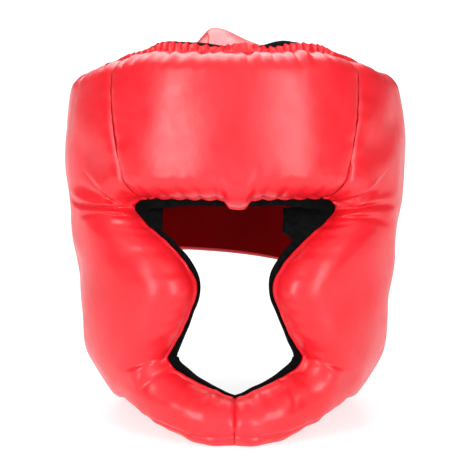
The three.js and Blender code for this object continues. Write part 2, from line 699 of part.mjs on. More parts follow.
// The guard as it rests: leaning back, its lowest parts on the floor and its middle over the origin
guard.rotation.x = -LEAN;
guard.position.set(0, -MIDDLE_Y, -FLOOR);
const part = new THREE.Group();
part.name = 'head_guard';
part.add(guard);

export default part;
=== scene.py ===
import math
from types import SimpleNamespace as Sizes

import bpy
import numpy as np
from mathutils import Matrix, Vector


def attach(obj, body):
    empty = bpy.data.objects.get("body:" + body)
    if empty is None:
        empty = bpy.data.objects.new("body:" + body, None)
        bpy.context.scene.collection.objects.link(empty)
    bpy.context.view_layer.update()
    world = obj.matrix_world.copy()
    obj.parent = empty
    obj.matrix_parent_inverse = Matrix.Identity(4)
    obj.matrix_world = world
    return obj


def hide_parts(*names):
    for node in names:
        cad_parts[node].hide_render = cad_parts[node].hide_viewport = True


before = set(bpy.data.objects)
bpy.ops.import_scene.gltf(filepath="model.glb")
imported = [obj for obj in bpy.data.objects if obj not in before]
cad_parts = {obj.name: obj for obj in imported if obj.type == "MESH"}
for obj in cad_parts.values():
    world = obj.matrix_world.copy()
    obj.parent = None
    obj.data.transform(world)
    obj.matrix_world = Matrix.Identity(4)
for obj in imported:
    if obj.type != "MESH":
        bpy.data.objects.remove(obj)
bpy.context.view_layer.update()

# A padded full-face head guard. Shapes are worked out upright, as worn, in millimetres, with the face to -Y
# and the wearer's left to +X, and then placed in the part's frame in metres, leaning back as it rests.

# Driving dimensions, the same as the part's source
MM = 0.001
LEAN = math.radians(10)
FLOOR = 17.2
MIDDLE_Y = 21.48
SQUARENESS = 0.05
SEAM_GAP = 0.35
SKIN = 4.0
CROWN_SKIN = 2.4
LINING = 1.6
EAR_SKIN = 7.0
EAR_INSIDE = 20.5
WING_OUT = 2.5
WING_IN = 19.0
WING_ANGLE = 130.0
WING_ROLL = 13.0
WING_HIGH = 150.0
WING_SEAT = 0.5
VENT_RADIUS = 4.2
VENT_ANGLE = math.radians(90)
VENT_HEIGHTS = (82.0, 108.0)
SEAM_AT = 3.0
EAR_TOP_AT = 5.0
EAR_BOTTOM_AT = 15.0
CHIN_AT = 19.0
RIM_SEAT = 0.17
INSIDE_ROLL = 12.0
INSIDE_RIM = 0.04
INSIDE_EDGE = 0.15
LEAST_MEETING = 0.35
GAP_DEG = 0.15
BAND_DEPTH = 12.5
BAND_END = 222.0
FLAP_END = 187.0
PATCH_FROM = 131.5
PATCH_TO = 219.0
CROWN_TOP = 249.0
CROWN_Y = 6.0
CROWN_NECK = 34.0
CROWN_ARM = 24.0

AROUND = 105.0      # mean radius of the shell, which turns an angle round it into a length


def rows(columns, *values):
    """A short table: a named column for each word, a row for each tuple."""
    return dict(zip(columns.split(), np.array(values, float).T))


# The outside of the shell at each height: half width, reach to the front and reach to the rear
LEVELS = rows(
    "z width front rear",
    (-10, 57, 101, 80),
    (20, 73, 107, 90),
    (38, 85.5, 109, 96),
    (55, 95.5, 110, 100),
    (75, 100, 112, 105),
    (100, 102.5, 114, 110),
    (125, 104.5, 114, 114),
    (150, 106.2, 113, 117),
    (182, 107.5, 112, 118),
    (206, 106, 111, 117),
    (230, 102, 109, 112),
    (255, 96, 104, 104),
)

# Lines of the padding from the face opening's rim to the shell's outer edge, brow to chin. The first row is
# the mirror of the third, so that the brow is smooth across the middle.
STATIONS = rows(
    "at rim_x rim_z angle z thick rim_roll edge_roll seat",
    (-1, -20, 153.5, -17, 245.5, 24, 14, 15, 0.3),
    (0, 0, 153, 0, 245, 24, 14, 15, 0.3),
    (1, 20, 153.5, 17, 245.5, 24, 14, 15, 0.3),
    (2, 40, 153.5, 33, 246, 24, 14, 15, 0.3),
    (3, 55.5, 153, 50, 241.5, 24, 15, 15, 0.3),
    (4, 63, 149.5, 73, 235, 23, 16, 15, 0.3),
    (5, 64.2, 145, 92, 228, 22, 15, 14, 0.4),
    (6, 61.5, 141, 93, 190, 22, 16, 12, 0.42),
    (7, 55, 135, 90, 155, 22.5, 19, 12, 0.42),
    (8, 44.5, 126, 86, 128, 23.5, 22, 13, 0.42),
    (9, 34, 115, 82, 108, 25, 25, 13, 0.42),
    (10, 26.5, 103, 80, 93, 26, 26, 14, 0.42),
    (11, 25, 92.5, 80, 80, 26, 26, 14, 0.42),
    (12, 29.5, 79, 83, 66, 26, 25, 14, 0.42),
    (13, 35.5, 65, 91, 50, 25, 23, 14, 0.42),
    (14, 42, 53, 101, 34, 24, 20, 15, 0.42),
    (15, 43.5, 47.5, 108, 17, 23, 18, 18, 0.42),
    (16, 40, 40.5, 78, 15.5, 24, 16, 18, 0.36),
    (17, 29, 34.5, 48, 3.5, 25, 15, 16, 0.4),
    (18, 14.5, 30, 23, -4, 26, 15, 15, 0.45),
    (19, 0, 25, 0, -4, 26, 14, 15, 0.45),
)

# At the same stations: the angle of the ear panel's rear edge and the height on the wing's rear edge
EAR_ROWS = rows(
    "at back rear_z",
    (5, 98, 214),
    (6, 99, 188),
    (7, 100.5, 166),
    (8, 102.5, 150.5),
    (9, 104, 139),
    (10, 105.5, 130),
    (11, 106.5, 122.5),
    (12, 108, 114.5),
    (13, 110, 107),
    (14, 112, 99.5),
    (15, 114.5, 92),
)

# Creases of the leather on the cheeks and the brow. Each starts deep at a seam and fades out: the side, where
# it starts and ends as an angle round from the face and a height, how far it bows, how wide and deep it is,
# and how much of that depth stands up beside it.
CREASES = rows(
    "side from_angle from_z to_angle to_z bow wide deep ridge",
    (-1, 44, 146, 74, 153, -2.5, 1.8, 3.8, 0.55),
    (-1, 44, 141, 64, 141, 1.5, 1.8, 2.4, 0.5),
    (-1, 50, 151, 70, 160, 3, 2.4, 0.8, 0.4),
    (-1, 31, 46, 45, 30, 2, 2.4, 2.6, 0.6),
    (-1, 24, 38, 30, 26, 1, 2.6, 0.9, 0.5),
    (1, 42, 148, 58, 158, 1.5, 1.9, 2.5, 0.5),
    (1, 43, 144, 70, 147, 2, 1.9, 3.0, 0.5),
    (1, 42, 140, 64, 135, 2, 2.0, 2.3, 0.5),
    (1, 27, 48, 38, 34, -2, 2.4, 2.3, 0.6),
    (1, 24, 42, 28, 20, 3, 2.4, 1.6, 0.6),
)

# Crown arms: direction, how far each reaches, how far its end drops and how steep it ends, how wide the end
# is and how far it bulges to the wall
CROWN_ARMS = (
    Sizes(x=0, y=-1, reach=86.3, drop=13, end_deg=40, end_wide=30, bulge=5),
    Sizes(x=1, y=0, reach=79.35, drop=35, end_deg=62, end_wide=30, bulge=4),
    Sizes(x=0, y=1, reach=92.1, drop=78, end_deg=78, end_wide=24, bulge=2.5),
    Sizes(x=-1, y=0, reach=79.35, drop=35, end_deg=62, end_wide=30, bulge=4),
)
CROWN_FOLD = Sizes(x=-14, y=-46, right=10, left=21, long=34, high=13)

# Lower and upper edges of the band, the flap and the patch, from the root to the free end
BAND_ROWS = rows("at low high", (0, 97, 205), (0.5, 110, 199), (1, 116, 188))
FLAP_ROWS = rows("at low high", (0, 106, 203), (0.5, 113, 201), (1, 115, 199))
PATCH_ROWS = rows("at low high", (0, 129, 188), (1, 131, 186))
PATCH_DEPTH = BAND_DEPTH - LINING - 2 * SEAM_GAP
FLAP_DEPTH = PATCH_DEPTH - SKIN - 2 * SEAM_GAP
ROOT_ANGLE = WING_ANGLE + 2 * GAP_DEG
FLAP_ROOT = 360 - WING_ANGLE - 2 * GAP_DEG


# Reading the tables and working with numbers

def curve(table, column, at):
    """A smooth curve through one column of a table, by its first column."""
    keys, values = next(iter(table.values())), table[column]
    at = np.asarray(at, float)
    number = np.arange(len(keys))
    before, after = np.maximum(number - 1, 0), np.minimum(number + 1, len(keys) - 1)
    slopes = (values[after] - values[before]) / (keys[after] - keys[before])
    i = np.clip(np.searchsorted(keys, at) - 1, 0, len(keys) - 2)
    span = keys[i + 1] - keys[i]
    s = (at - keys[i]) / span
    start = values[i] * (1 + 2 * s) * (1 - s) ** 2 + span * slopes[i] * s * (1 - s) ** 2
    end = values[i + 1] * s * s * (3 - 2 * s) - span * slopes[i + 1] * s * s * (1 - s)
    return start + end


def each_row(table):
    """The rows of a table, by the names of its columns."""
    return [Sizes(**dict(zip(table, row))) for row in zip(*table.values())]


def mix(a, b, share):
    return a + (b - a) * share


def norm(vectors):
    return np.linalg.norm(vectors, axis=-1)


def unit(vectors):
    return vectors / np.maximum(norm(vectors)[..., None], 1e-9)


def bell(distance, wide):
    return np.exp(-((distance / wide) ** 2))


def rounded(share):
    """Rounding over of leather: 0 at the edge and 1 where the padding is full."""
    return np.sqrt(1 - (1 - np.clip(share, 0, 1)) ** 2)


def spread(count, ends=0.6):
    """Shares from 0 to 1, closer together at both ends."""
    even = np.linspace(0, 1, count)
    return mix(even, (1 - np.cos(np.pi * even)) / 2, ends)


def uneven(along, spacing, seed):
    """Uneven waves along a seam, between about -1 and 1."""
    draw = np.random.default_rng(seed)
    total = np.zeros_like(np.asarray(along, float))
    for share in (0.72, 1.0, 1.37, 2.3):
        total = total + np.sin(2 * np.pi * along / (spacing * share) + draw.uniform(0, 2 * np.pi))
    return total / 2.4


def soft(across, up, spacing, seed):
    """Soft unevenness of a padded surface, between about -1 and 1."""
    draw = np.random.default_rng(seed)
    total = np.zeros(np.broadcast(across, up).shape)
    for _ in range(7):
        turn = draw.uniform(0, 2 * np.pi)
        length = spacing * draw.uniform(0.7, 1.5)
        phase = draw.uniform(0, 2 * np.pi)
        total = total + np.sin(2 * np.pi * (across * np.cos(turn) + up * np.sin(turn)) / length + phase)
    return total / 3.5


# The shell

def shell(angle, z):
    """Points on the outside of the shell, by the angle round from the face and the height."""
    across, along = np.sin(angle), np.cos(angle)
    reach = np.where(along > 0, curve(LEVELS, "front", z), curve(LEVELS, "rear", z))
    x = curve(LEVELS, "width", z) * across * (1 + SQUARENESS * along**2)
    y = -reach * along * (1 + SQUARENESS * across**2)
    return np.stack(np.broadcast_arrays(x, y, z), -1)


def shell_normal(angle, z, turn=0.01, rise=1.0):
    around = shell(angle + turn, z) - shell(angle - turn, z)
    up = shell(angle, z + rise) - shell(angle, z - rise)
    return unit(np.cross(around, up))


LEAN_COS, LEAN_SIN = math.cos(LEAN), math.sin(LEAN)


def rested(points):
    """Points pressed flat where the guard rests on the floor."""
    floor_normal = np.array((0, -LEAN_SIN, LEAN_COS))
    under = np.maximum(FLOOR - points @ floor_normal, 0)
    return points + under[..., None] * floor_normal


def wall(angle, z, depth):
    """Points at a depth under the outside of the shell."""
    depth = np.asarray(depth, float)
    return rested(shell(angle, z) - shell_normal(angle, z) * depth[..., None])


def placed(points):
    """Upright millimetres in the part's frame, in metres."""
    x, y, z = np.moveaxis(np.asarray(points, float), -1, 0)
    y, z = y * LEAN_COS + z * LEAN_SIN, z * LEAN_COS - y * LEAN_SIN
    return np.stack((x, y - MIDDLE_Y, z - FLOOR), -1) * MM


# The lines from rim to edge

HALVINGS = 40       # of the angle in which each line's place on the rim is found


def course(u):
    """Where each column's line runs from the rim to the edge, with its row of the table."""
    size = np.abs(u)
    side = np.where(u < 0, -1.0, 1.0)
    at = {name: curve(STATIONS, name, size) for name in STATIONS if name != "at"}
    depth = at["thick"] * (1 - RIM_SEAT)
    low, high = np.zeros_like(size), np.full_like(size, np.pi / 2)
    for _ in range(HALVINGS):
        middle = (low + high) / 2
        reached = shell(middle, at["rim_z"]) - shell_normal(middle, at["rim_z"]) * depth[..., None]
        nearer = reached[..., 0] < np.abs(at["rim_x"])
        low, high = np.where(nearer, middle, low), np.where(nearer, high, middle)
    at.update(u=u, side=side, rim_x=side * at["rim_x"], rim_angle=low, angle=np.radians(at["angle"]))
    return at


def on_course(at, r):
    """Angle and height on the lines, r of the way from the rim to the edge."""
    angle = at["side"][:, None] * mix(at["rim_angle"][:, None], at["angle"][:, None], r)
    return angle, mix(at["rim_z"][:, None], at["z"][:, None], r)


def border_points(at, r):
    """Where the lines end: on the rim (r 0) or on the edge (r 1)."""
    return shell(*on_course(at, np.array([[r]])))[:, 0]


def meeting(at, r, step=0.05):
    """How square each line meets the rim (r 0) or the edge (r 1), as a sine."""
    inward = 2 * step if r < 0.5 else -2 * step
    ends = shell(*on_course(at, np.array([[r, r + inward]])))
    size = np.abs(at["u"])
    low, high = (
        border_points(course(at["side"] * np.clip(size + off, 0, CHIN_AT)), r) for off in (-step, step)
    )
    sine = norm(np.cross(unit(ends[:, 1] - ends[:, 0]), unit(high - low)))
    return np.clip(sine, LEAST_MEETING, 1)


def lines(u):
    """Everything that the padding needs to know of each column."""
    at = course(u)
    steps = shell(*on_course(at, np.linspace(0, 1, 9)[None, :]))
    at["length"] = norm(np.diff(steps, axis=1)).sum(1)
    for end, r in (("rim", 0), ("edge", 1)):
        at[end + "_sine"] = meeting(at, r)
        at[end + "_run"] = np.concatenate(([0], np.cumsum(norm(np.diff(border_points(at, r), axis=0)))))
    return at


def as_columns(at):
    return Sizes(**{name: value[:, None] for name, value in at.items()})


def distances(column, r):
    """How far each place is from the rim and from the edge."""
    return r * column.length * column.rim_sine, (1 - r) * column.length * column.edge_sine


def inside_depth(column, from_rim, from_edge):
    """How deep the inside of the padding lies, rolled up at the rim and the edge."""
    at_rim = INSIDE_RIM * (1 - rounded(from_rim / INSIDE_ROLL))
    at_edge = np.maximum(column.seat - INSIDE_EDGE, 0) * (1 - rounded(from_edge / INSIDE_ROLL))
    return column.thick * (1 - at_rim - at_edge)


# Depths of the padding

SCALLOP = Sizes(long=9.5, high=1.1, phase=0.6, lost=0.6)     # hanging lobes of the brow between its stitches
BROW_TAB = Sizes(x=1.8, wide=7.4, deep=5.2, blunt=6)         # tab that hangs from the middle of the brow
RIM_WAVE = Sizes(long=16.0, high=0.35)                       # unevenness of the rest of the rim
TOP_WAVE = Sizes(long=11.0, high=0.8, by_ear=0.5, by_seam=0.15)
TOP_GATHER = Sizes(long=8.6, deep=0.5, uneven=0.6, at=2.0, fade=6.0)
RIM_PUCKER = Sizes(long=13.0, deep=0.35, at=5.0, fade=8.0)
EDGE_RIPPLE = Sizes(long=19.0, deep=0.35)
SEAM_PUCKER = Sizes(long=14.0, deep=0.3, at=0.0, fade=8.0)
SEAM_GROOVE = Sizes(deep=2.0, wide=2.4, step=0.5)
CHIN_HEM = Sizes(start=16.2, fade=0.5, at=11.0, wide=1.8, deep=1.6)
CHIN_PINCH = Sizes(long=26.0, deep=0.9, at=5.0, fade=9.0)
SURFACE = Sizes(long=46.0, deep=0.55)
INSIDE_SAG = Sizes(long=40.0, deep=0.5, at=40.0, wide=30.0)
CREASE = Sizes(opens=0.6, fades=0.8, start=6.0, ridge_at=2.0, ridge_wide=1.4, lower_ridge=0.5)
LEAST_THICK = 1.5


def crease_depth(side, angle, z):
    """How deep the creases press the leather in at each point."""
    total = np.zeros(angle.shape)
    around = AROUND * np.abs(angle)
    for row in each_row(CREASES):
        start = np.array((AROUND * math.radians(row.from_angle), row.from_z))
        end = np.array((AROUND * math.radians(row.to_angle), row.to_z))
        long = norm(end - start)
        ahead = (end - start) / long
        run = ((around - start[0]) * ahead[0] + (z - start[1]) * ahead[1]) / long
        share = np.clip(run, 0, 1)
        across = (z - start[1]) * ahead[0] - (around - start[0]) * ahead[1]
        across = across - row.bow * 4 * share * (1 - share)
        wide = row.wide * CREASE.opens * (1 + share)
        fade = (1 - share) ** CREASE.fades * bell(np.minimum(run, 0) * long, CREASE.start)
        above, below = (
            bell(across + sign * CREASE.ridge_at * wide, CREASE.ridge_wide * wide) for sign in (-1, 1)
        )
        ridge = row.ridge * (above + CREASE.lower_ridge * below)
        total = total + np.where(side == row.side, row.deep * fade * (bell(across, wide) - ridge), 0)
    return total


def groove(kind, distance):
    """A groove by its place, width and depth."""
    return kind.deep * bell(distance - kind.at, kind.wide)


def puckers(kind, run, distance, seed):
    """Uneven puckers along a seam, which fade with the distance from it."""
    return kind.deep * uneven(run, kind.long, seed) * bell(distance - kind.at, kind.fade)


def surface(kind, angle, z, seed):
    """The soft unevenness of a panel."""
    return kind.deep * soft(AROUND * angle, z, kind.long, seed)


def wave_borders(at, seed):
    """Lets the brow's lobes and tab hang down, and makes the rest of the rim and the top edge wavy."""
    size = np.abs(at["u"])
    lobes = np.abs(np.sin(np.pi * at["rim_x"] / SCALLOP.long + SCALLOP.phase))
    tab = np.exp(-(((at["rim_x"] - BROW_TAB.x) / BROW_TAB.wide) ** BROW_TAB.blunt))
    hang = SCALLOP.high * (0.5 - lobes) * (1 - SCALLOP.lost * tab) - BROW_TAB.deep * tab
    wave = RIM_WAVE.high * uneven(at["rim_run"], RIM_WAVE.long, seed)
    at["rim_z"] = at["rim_z"] + np.where(size < SEAM_AT, hang, wave)
    wavy = np.clip((EAR_TOP_AT - size) / TOP_WAVE.by_ear, 0, 1)
    wavy = wavy * np.clip(np.abs(size - SEAM_AT) / TOP_WAVE.by_seam, 0, 1)
    at["z"] = at["z"] + wavy * TOP_WAVE.high * uneven(at["edge_run"], TOP_WAVE.long, seed + 8)


def seam_depth(column, r, seam, seed):
    """How deep a seam draws the padding in, with the puckers beside it."""
    pair = course(np.array([seam, seam - SEAM_GROOVE.step]))
    middle, beside = shell(*on_course(pair, r))
    off = np.abs(np.abs(column.u) - seam) * norm(middle - beside) / SEAM_GROOVE.step
    drawn_in = SEAM_GROOVE.deep * np.exp(-off / SEAM_GROOVE.wide)
    return drawn_in + puckers(SEAM_PUCKER, r * column.length, off, seed)


def pad_grids(u, r, seed):
    """Outer and inner grids of the padding on columns u and shares r, with its gathers, seams and creases."""
    at = lines(u)
    wave_borders(at, seed)
    r = r[None, :]
    angle, z = on_course(at, r)
    column = as_columns(at)
    size = np.abs(column.u)
    from_rim, from_edge = distances(column, r)
    at_rim = mix(RIM_SEAT, 1, rounded(from_rim / column.rim_roll))
    at_edge = mix(column.seat, 1, rounded(from_edge / column.edge_roll))
    full = np.maximum(1 - np.hypot(1 - at_rim, 1 - at_edge), np.minimum(RIM_SEAT, column.seat))
    depth = column.thick * (1 - full)

    depth = depth + puckers(RIM_PUCKER, column.rim_run, from_rim, seed + 1)
    edge_run = column.edge_run
    gathers = TOP_GATHER.deep * np.sin(2 * np.pi * edge_run / TOP_GATHER.long)
    gathers = gathers + TOP_GATHER.uneven * uneven(edge_run, 2 * TOP_GATHER.long, seed + 2)
    ripples = EDGE_RIPPLE.deep * uneven(edge_run, EDGE_RIPPLE.long, seed + 3)
    by_edge = bell(from_edge - TOP_GATHER.at, TOP_GATHER.fade) * np.clip(from_edge / TOP_GATHER.at, 0, 1)
    depth = depth + np.where(size < EAR_TOP_AT, gathers, ripples) * by_edge
    for seam in (SEAM_AT, CHIN_AT):
        depth = depth + seam_depth(column, r, seam, seed + 4)
    depth = depth + crease_depth(column.side, angle, z)
    under_chin = np.clip((size - CHIN_HEM.start) / CHIN_HEM.fade, 0, 1)
    pinches = puckers(CHIN_PINCH, edge_run, from_edge, seed + 7)
    depth = depth + under_chin * (groove(CHIN_HEM, from_edge) + pinches)
    depth = depth + surface(SURFACE, angle, z, seed + 5)

    sag = 1 + soft(AROUND * angle, z, INSIDE_SAG.long, seed + 6)
    sag = sag * groove(INSIDE_SAG, np.minimum(from_rim, from_edge))
    inside = inside_depth(column, from_rim, from_edge) - sag
    return wall(angle, z, np.minimum(depth, inside - LEAST_THICK)), wall(angle, z, inside)


# Building meshes

def linked(name, data):
    """A new object in the scene."""
    made = bpy.data.objects.new(name, data)
    bpy.context.scene.collection.objects.link(made)
    return made


def grid_faces(m, n):
    number = np.arange(m * n).reshape(m, n)
    return np.stack((number[:-1, :-1], number[1:, :-1], number[1:, 1:], number[:-1, 1:]), -1).reshape(-1, 4)


def slab(outer, inner, bulge, turns=3):
    """A closed skin from an outer grid and an inner grid of the same count, rounded along its border.
    bulge is how far that rounds out at the first column, the last column, the first row and the last row."""
    m, n = outer.shape[:2]
    first, last, low, high = bulge
    loop = [(i, 0, low) for i in range(m)]
    loop += [(m - 1, j, last) for j in range(1, n)]
    loop += [(i, n - 1, high) for i in range(m - 2, -1, -1)]
    loop += [(0, j, first) for j in range(n - 2, 0, -1)]
    i, j, reach = (np.array(values) for values in zip(*loop))
    corner = np.isin(i, (0, m - 1)) & np.isin(j, (0, n - 1))
    near = np.clip(i, 1, m - 2), np.clip(j, 1, n - 2)
    middle, half = (outer[i, j] + inner[i, j]) / 2, (outer[i, j] - inner[i, j]) / 2
    lean = unit(half)
    away = middle - (outer[near] + inner[near]) / 2
    away = unit(away - (away * lean).sum(-1, keepdims=True) * lean)
    away = away * np.minimum(np.where(corner, min(bulge), reach), norm(half))[:, None]
    points = [outer.reshape(-1, 3), inner.reshape(-1, 3)]
    rings = [i * n + j]
    for k in range(turns):
        turn = np.pi * (k + 1) / (turns + 1)
        points.append(rested(middle + half * math.cos(turn) + away * math.sin(turn)))
        rings.append(2 * m * n + k * len(loop) + np.arange(len(loop)))
    rings.append(m * n + rings[0])
    faces = [grid_faces(m, n), m * n + grid_faces(m, n)[:, ::-1]]
    faces += [np.stack((np.roll(a, -1), a, b, np.roll(b, -1)), -1) for a, b in zip(rings, rings[1:])]
    return np.concatenate(points), np.concatenate(faces)


def closed_ring(grids):
    """A closed skin through a ring of closed sections."""
    count, around = grids.shape[:2]
    number = np.arange(count * around).reshape(count, around)
    after, beside = np.roll(number, -1, 0), np.roll(number, -1, 1)
    faces = np.stack((number, after, np.roll(after, -1, 1), beside), -1).reshape(-1, 4)
    return grids.reshape(-1, 3), faces


def joined(parts):
    """Several skins as one list of points and faces."""
    points, faces, start = [], [], 0
    for part_points, part_faces in parts:
        points.append(part_points)
        faces.append(part_faces + start)
        start += len(part_points)
    return np.concatenate(points), np.concatenate(faces)


def outward(points, faces):
    """Faces with four corners, turned so that they point out of a closed skin."""
    a, b, c, d = points[faces].transpose(1, 0, 2)
    volume = (a * (np.cross(b, c) + np.cross(c, d))).sum()
    return (faces if volume > 0 else faces[:, ::-1]).tolist()


def smooth(mesh):
    mesh.polygons.foreach_set("use_smooth", np.ones(len(mesh.polygons), bool))


def mesh_object(name, points, faces, material, behind=None, sharp_deg=55):
    """A smooth mesh object at the origin, from upright millimetres. A list of faces points outwards already.
    behind is the first face, the last face and the material of those that have another one."""
    mesh = bpy.data.meshes.new(name)
    turned = faces if isinstance(faces, list) else outward(points, faces)
    mesh.from_pydata(placed(points).tolist(), [], turned)
    smooth(mesh)
    mesh.set_sharp_from_angle(angle=math.radians(sharp_deg))
    mesh.materials.append(material)
    if behind:
        first, last, other = behind
        mesh.materials.append(other)
        number = np.zeros(len(mesh.polygons), np.int32)
        number[first:last] = 1
        mesh.polygons.foreach_set("material_index", number)
    mesh.update()
    return linked(name, mesh)


def finished_mesh(made):
    """The object's mesh with its modifiers applied; they are then removed."""
    graph = bpy.context.evaluated_depsgraph_get()
    mesh = bpy.data.meshes.new_from_object(made.evaluated_get(graph))
    made.modifiers.clear()
    return mesh


def remove(made):
    mesh = made.data
    bpy.data.objects.remove(made)
    bpy.data.meshes.remove(mesh)


def inner_faces(grid, material):
    """The faces of a slab's inner side, and their material."""
    count = (grid.shape[0] - 1) * (grid.shape[1] - 1)
    return count, 2 * count, material


def settle(made, solid=None):
    """A finished piece rides on the one body and may stand for a solid, which is then hidden."""
    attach(made, "root")
    if solid:
        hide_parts(solid)
    return made


def padded_piece(name, outer, inner, bulge, behind=None):
    """A padded piece of red leather in place of the solid of that name."""
    # The inner faces get the red leather darkened with painted shade.
    behind = behind or inner_faces(outer, INNER_LEATHER_PAINTED_SHADE)
    made = mesh_object(name + "_soft", *slab(outer, inner, bulge), LEATHER, behind)
    return settle(made, name)


# Cloth: the outer leather of each pad is blown out between its sewn edges

CLOTH_FRAMES = 18
CLOTH_CAP = 2.2
CLOTH_SMOOTHING = 3
CLOTH = dict(
    quality=6, mass=0.3, tension_stiffness=12, compression_stiffness=12, shear_stiffness=6,
    bending_stiffness=3, shrink_min=-0.012, use_pressure=True, uniform_pressure_force=4,
)


def stretch_rows(coarse, fine):
    """Weights that carry a coarse row of values to a finer one, smoothly."""
    weights = np.zeros((fine, coarse))
    for k, at in enumerate(np.linspace(0, coarse - 1, fine)):
        i = min(int(at), coarse - 2)
        s = at - i
        parts = (
            (-s + 2 * s**2 - s**3) / 2,
            (2 - 5 * s**2 + 3 * s**3) / 2,
            (s + 4 * s**2 - 3 * s**3) / 2,
            (-(s**2) + s**3) / 2,
        )
        for step, part in zip((-1, 0, 1, 2), parts):
            weights[k, min(max(i + step, 0), coarse - 1)] += part
    return weights


def blown(name, outer, inner, bulge):
    """How far cloth moves each point of the outer grid, in upright millimetres."""
    m, n = outer.shape[:2]
    made = mesh_object(name, *slab(outer, inner, bulge, 1), LEATHER)
    before = np.array([v.co for v in made.data.vertices])
    free = set(np.arange(m * n).reshape(m, n)[2:-2, 3:-2].reshape(-1).tolist())
    sewn = made.vertex_groups.new(name="sewn")
    sewn.add([i for i in range(len(before)) if i not in free], 1.0, "REPLACE")
    cloth = made.modifiers.new("cloth", "CLOTH")
    for setting, value in CLOTH.items():
        setattr(cloth.settings, setting, value)
    cloth.settings.effector_weights.gravity = 0
    cloth.settings.vertex_group_mass = "sewn"
    cloth.collision_settings.use_collision = False
    for number in range(1, CLOTH_FRAMES + 1):
        bpy.context.scene.frame_set(number)
    graph = bpy.context.evaluated_depsgraph_get()
    after = np.array([v.co for v in made.evaluated_get(graph).data.vertices])
    remove(made)
    bpy.context.scene.frame_set(1)
    moved = (after - before)[: m * n] / MM
    moved = moved * np.minimum(1, CLOTH_CAP / np.maximum(norm(moved), 1e-6))[:, None]
    x, y, z = moved.T
    moved = np.stack((x, y * LEAN_COS - z * LEAN_SIN, y * LEAN_SIN + z * LEAN_COS), -1).reshape(m, n, 3)
    for _ in range(CLOTH_SMOOTHING):
        moved[1:-1] = (moved[:-2] + 2 * moved[1:-1] + moved[2:]) / 4
        moved[:, 1:-1] = (moved[:, :-2] + 2 * moved[:, 1:-1] + moved[:, 2:]) / 4
    return moved


# Nodes

def feed(tree, made, **inputs):
    """Links each input of a node to a socket or sets it to a value; an underscore stands for a space."""
    for name, value in inputs.items():
        entry = made.inputs[name.replace("_", " ")]
        if isinstance(value, bpy.types.NodeSocket):
            tree.links.new(value, entry)
        else:
            entry.default_value = value


def node(tree, kind, settings=None, **inputs):
    """A new node with its settings and inputs."""
    made = tree.nodes.new(kind)
    for name, value in (settings or {}).items():
        setattr(made, name, value)
    feed(tree, made, **inputs)
    return made


# Materials

CLOUDING = (0.3, 0.52, 0.75)    # where the leather's three shades are on the scale of its clouding


def shader(name, **sockets):
    """A material with its principled shader; sockets set what is the same all over."""
    made = bpy.data.materials.new(name)
    made.use_nodes = True
    tree = made.node_tree
    tree.nodes.clear()
    main = node(tree, "ShaderNodeBsdfPrincipled", **sockets)
    node(tree, "ShaderNodeOutputMaterial", Surface=main.outputs["BSDF"])
    return made, tree, main, node(tree, "ShaderNodeTexCoord").outputs["Object"]


def noise(tree, place, scale, detail=3.0):
    return node(tree, "ShaderNodeTexNoise", Vector=place, Scale=scale, Detail=detail).outputs["Fac"]


def ramp(tree, factor, *stops):
    made = node(tree, "ShaderNodeValToRGB", Fac=factor)
    bar = made.color_ramp
    while len(bar.elements) < len(stops):
        bar.elements.new(0.5)
    for element, (at, colour) in zip(bar.elements, stops):
        element.position = at
        element.color = (*colour, 1)
    return made.outputs["Color"]


def bump(tree, main, *layers):
    """Bump from layers of (height socket, strength, depth in mm)."""
    below = {}
    for height, strength, depth in layers:
        made = node(tree, "ShaderNodeBump", Strength=strength, Distance=depth * MM, Height=height, **below)
        below = {"Normal": made.outputs["Normal"]}
    feed(tree, main, **below)


def red_leather(name, shades, shine, rough):
    """Smooth coated leather with fine grain, faint clouding and a soft gloss."""
    made, tree, main, place = shader(
        name, Roughness=rough, Specular_IOR_Level=shine, Coat_Weight=0.15 * shine, Coat_Roughness=0.3
    )
    colour = ramp(tree, noise(tree, place, 28, 4), *zip(CLOUDING, shades))
    patchy = node(
        tree, "ShaderNodeMapRange", Value=noise(tree, place, 90),
        From_Min=0.3, From_Max=0.7, To_Min=rough - 0.05, To_Max=rough + 0.06,
    )
    feed(tree, main, Base_Color=colour, Roughness=patchy.outputs["Result"])
    cells = node(tree, "ShaderNodeTexVoronoi", {"feature": "SMOOTH_F1"}, Vector=place, Scale=950)
    bump(tree, main, (noise(tree, place, 120), 0.16, 1.2), (cells.outputs["Distance"], 0.1, 0.25))
    return made


def waves(tree, place, direction, scale, distortion=0.0):
    settings = {"bands_direction": direction}
    made = node(tree, "ShaderNodeTexWave", settings, Vector=place, Scale=scale, Distortion=distortion)
    return made.outputs["Fac"]


def black_lining():
    """Matte black woven lining."""
    made, tree, main, place = shader("black_lining", Roughness=0.85, Specular_IOR_Level=0.04)
    shades = (0.3, (0.0018, 0.002, 0.0022)), (0.7, (0.005, 0.0055, 0.006))
    feed(tree, main, Base_Color=ramp(tree, noise(tree, place, 300), *shades))
    bump(tree, main, *((waves(tree, place, direction, 420, 1.2), 0.35, 0.25) for direction in "XZ"))
    return made


def loop_pile():
    """Crimson loop tape: a matte woven ground under its loops."""
    made, tree, main, place = shader(
        "loop_pile", Roughness=0.9, Sheen_Weight=0.3, Sheen_Roughness=0.6, Specular_IOR_Level=0.2
    )
    shades = (0.3, (0.36, 0.0015, 0.007)), (0.7, (0.50, 0.003, 0.012))
    feed(tree, main, Base_Color=ramp(tree, noise(tree, place, 900, 4), *shades))
    bump(tree, main, (noise(tree, place, 1100, 2), 0.6, 0.5))
    return made


